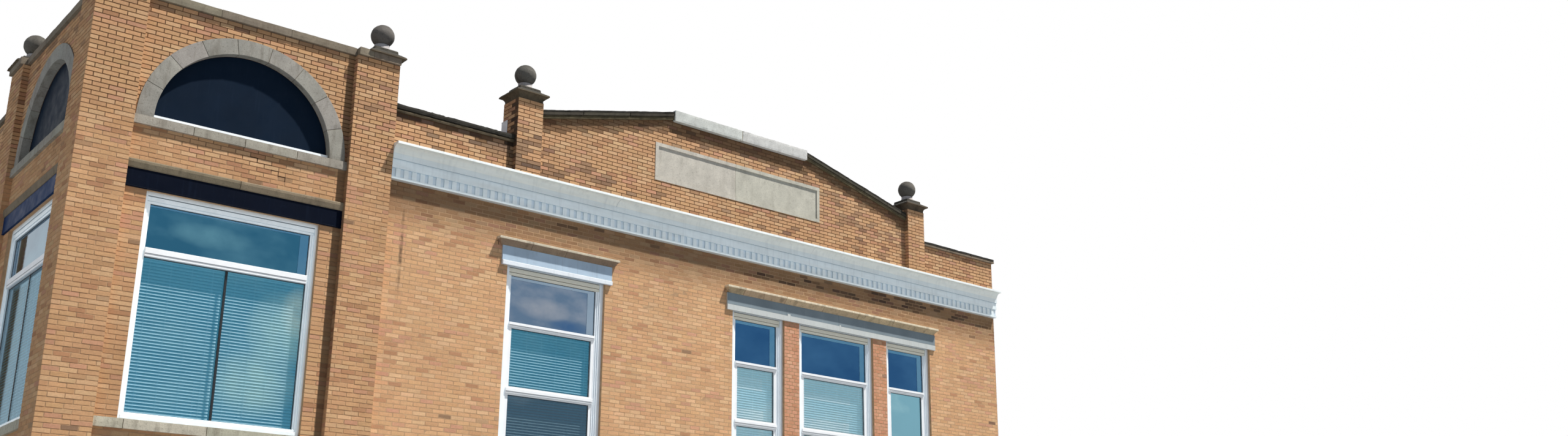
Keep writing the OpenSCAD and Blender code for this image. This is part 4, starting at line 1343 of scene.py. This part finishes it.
def front_windows():
    frames, panes, blinds = Shape(WHITE), Shape("plain_glass"), Shape("slat_enamel")
    kinds = [
        ("dusk_glass", "lower_glass", "cloudy_glass"),
        ("bright_glass", "bright_glass", "triple_glass"),
        ("bright_glass", "bright_glass", "triple_glass"),
        ("smooth_glass", "smooth_glass", "triple_glass"),
    ]
    # Patches of painted highlight on the slats: x0, x1, z0, z1.
    patches = [
        (),
        [(11575, 12330, 6330, 6560), (11575, 12360, 5420, 5960), (11575, 12300, 5000, 5400)],
        [(13215, 14600, 6330, 6480), (13215, 14560, 5300, 5960), (13215, 14500, 4900, 5200)],
        [(15575, 16300, 6240, 6420)],
    ]
    for (middle, width), glass, pale in zip(COLUMNS, kinds, patches):
        edges = (140, 56, "edge_glass") if pale else (140, 46, "pale_edge_glass")
        window(frames, panes, middle, width, *UPPER, glass, FRONT_BARS, "front", edges)
        reach = width / 2 - 110
        rise, tones = (34, PALE_SLATS) if pale else (27, BLUE_SLATS)
        for low, high in ((4692, 5660), (5735, 6756)):
            slats(blinds, middle - reach, middle + reach, low, high, rise, tones, pale)
    for column in COLUMNS[1:]:
        window(frames, panes, *column, *GROUND, ["plain_glass"])
    finish_windows("front", frames, panes, blinds)


def plain_windows():
    frames, panes = Shape(WHITE), Shape("plain_glass")
    for face, middles in (("side", SIDE_MIDDLES), ("rear", REAR_MIDDLES)):
        frames.face = panes.face = face
        for m in middles:
            at = (frames, panes, m, PLAIN_W)
            window(*at, *GROUND, ["plain_glass"])
            window(*at, *UPPER, ("plain_glass", "plain_glass", "triple_glass"), FRONT_BARS)
    finish_windows("plain", frames, panes)


tower_windows()
front_windows()
plain_windows()

# ------------ boards, cornice and small things


def tower_boards():
    shape = Shape("navy_board")
    for face, look in (("front", "navy_board"), ("side", "navy_side_board")):
        shape.face = face
        shape.box(PIER_W, PANEL_END, 70, 100, TOWER_HEAD, 8040, look)
        shape.box(PIER_W, PANEL_END, 65, 70, TOWER_HEAD, TOWER_HEAD + 14, look)
    piece("tower_head_boards", shape, ["tower_boards"], bevel=2)

    shape = Shape("arch_panel")
    turns = np.linspace(0, math.pi, 49)
    for face in ("front", "side"):
        shape.face = face
        arc = [(TOWER_MID - ARCH_R * math.cos(t), SPRING + ARCH_R * math.sin(t)) for t in turns]
        shape.stack([[(x, y, z) for x, z in arc] for y in (212, 256)])
    piece("arch_boards", shape, ["arch_panels"], bevel=2)


def front_boards():
    """The boards over the front windows. Their folded lower edges hang over the frames."""
    foot, top = FRONT_HEAD - 95, 8048
    shape = Shape("pale_board")
    shape.box(*SINGLE_BOARD, 70, 100, foot + 1, top)
    fold = ((foot, 44), (FRONT_HEAD - 32, 42), (FRONT_HEAD - 18, 62))
    shape.loft([(z, *SINGLE_BOARD, y, 71) for z, y in fold], look="white_flashing")
    piece("single_head_board", shape, ["single_board"], bevel=2)

    shape = Shape("grey_board")
    x0, x1 = wide(*TRIPLE, 150)
    for a, b in split(x0, x1, (12750, 14120)):
        shape.box(a + 1, b - 1, 70, 100, FRONT_HEAD + 12, top)
    shape.box(x0, x1, 73, 99, FRONT_HEAD + 2, 8040, "old_flashing")
    bends = (x0, 12775, 12850, 14130, 14170, x1)
    for a, b, high in zip(bends, bends[1:], (8, 44, 12, 32, 8)):
        shape.box(a, b, 64, 99, foot, FRONT_HEAD, "old_flashing")
        shape.box(a, b, 64, 70, FRONT_HEAD - 2, FRONT_HEAD + high, "old_flashing")
    piece("triple_head_board", shape, ["triple_board"], bevel=2)


# The tones of the mouldings. The slot bed between the dentils and the underside of the fillet are
# painted darker and bluer: painted shade.
CROWN, COVE, FILLET = srgb(238, 243, 243), srgb(242, 245, 239), srgb(227, 236, 238)
FRIEZE, DENTIL_SLOT_SHADE, FILLET_UNDERSIDE_SHADE = srgb(234, 244, 247), srgb(217, 232, 242), srgb(176, 190, 200)
COVE_STEPS = 14
# The cornice from its foot round to the wall again: how far out and up each edge lies, and
# the tone of the strip that starts there.
BELOW_COVE = [(0, 0, FRIEZE), (84, 0, FRIEZE), (90, 6, FRIEZE), (90, 40, FRIEZE), (72, 40, DENTIL_SLOT_SHADE)]
BELOW_COVE += [(72, 178, DENTIL_SLOT_SHADE), (100, 178, FRIEZE), (100, 322, FILLET_UNDERSIDE_SHADE), (122, 322, FILLET)]
BELOW_COVE += [(122, 400, FILLET)]
ABOVE_COVE = [(259, 530, COVE), (259.5, 534, CROWN), (259.5, 566, CROWN), (256, 570, CROWN)]
ABOVE_COVE += [(0, 570, COVE)]
DENTIL_PITCH, DENTIL_W = 139, 79


def cornice():
    """The sheet-metal cornice: base, dentils, frieze, fillet, cove and crown."""
    turns = np.linspace(0, math.pi / 2, COVE_STEPS + 1)[1:]
    cove = [(122 + 98 * (1 - math.cos(a)), 400 + 130 * math.sin(a), COVE) for a in turns]
    outline = BELOW_COVE + cove + ABOVE_COVE
    n = len(outline)
    points = [
        (x, RECESS - out, CORNICE_Z + up) for x in (TOWER_W, BUILDING_W) for out, up, _ in outline
    ]
    shape = Shape("cornice_metal")
    for i, (_, _, tone) in enumerate(outline):
        after = (i + 1) % n
        shape.add([points[k] for k in (i, n + i, n + after, after)], [(0, 1, 2, 3)], tone)
    shape.add(points, [tuple(range(n)), tuple(range(2 * n - 1, n - 1, -1))], FILLET)
    count = (BUILDING_W - TOWER_W) // DENTIL_PITCH
    start = TOWER_W + (BUILDING_W - TOWER_W - count * DENTIL_PITCH) / 2
    for i in range(count):
        x = start + i * DENTIL_PITCH + 30 + rng.uniform(-1.5, 1.5)
        y, z = RECESS - 86, CORNICE_Z + 40.5
        shape.box(x, x + DENTIL_W, y, y + 12, z, z + 137, tone=FRIEZE)
    piece("cornice_mouldings", shape, ["cornice", "dentils"])

    # The joints of the sheets are strips that lie on the cove and lean to the right.
    shape = Shape("cornice_metal")
    for x, low, tone in ((8720, 340, srgb(120, 124, 126)), (13310, 404, srgb(196, 198, 198))):
        line = outline[len(BELOW_COVE) - 1 : -3]
        line = [(out + 0.4, up - 0.4) for out, up, _ in line if up >= low] + [(259.9, 566)]
        rings = []
        for out, up in line:
            lean = x + 60 * (up - 400) / 170
            y, z = RECESS - out, CORNICE_Z + up
            ends = (lean - 1.6, lean + 1.6)
            rings.append([(a, y, z) for a in ends] + [(a, y + 3, z + 3) for a in ends[::-1]])
        shape.stack(rings, tone)
    piece("cornice_joints", shape)


def flashing():
    """A folded sheet-metal flashing behind the left ball pier."""
    shape = Shape("white_flashing")
    x, foot, top = PIER_MIDDLES[0] - PIER_HALF, LEFT_TOP + 96, 10320
    shape.box(x - 9, x - 4.5, 330, 520, foot, top)
    shape.box(x - 14, x - 4.5, 330, 520, top, top + 8)
    shape.box(x - 24, x - 9, 330, 520, foot, foot + 5)
    piece("pier_flashing_sheet", shape, bevel=1)


tower_boards()
front_boards()
cornice()
flashing()

# ------------ looks of the solids that are carried over

# A slot that isn't named here has a look of its own name.
CARRIED = {
    "brick": "mortar",
    "roofing": "roof_felt",
    "cornice_white": "cornice_metal",
    "navy_door": "door_paint",
    "window_white": "white_frame_paint",
    "window_glass": "plain_glass",
    "weathered_stone": "cap_stone",
    "limestone": "cap_stone",
    "blind": "slat_enamel",
}
for part in frame["record"]["subparts"]:
    solid = frame["nodes"][part["node"]]
    slot = part["material_slot"]
    look = LOOKS[CARRIED.get(slot, slot)]
    if not solid.data.materials:
        solid.data.materials.append(look)
    for material_slot in solid.material_slots:
        material_slot.material = look
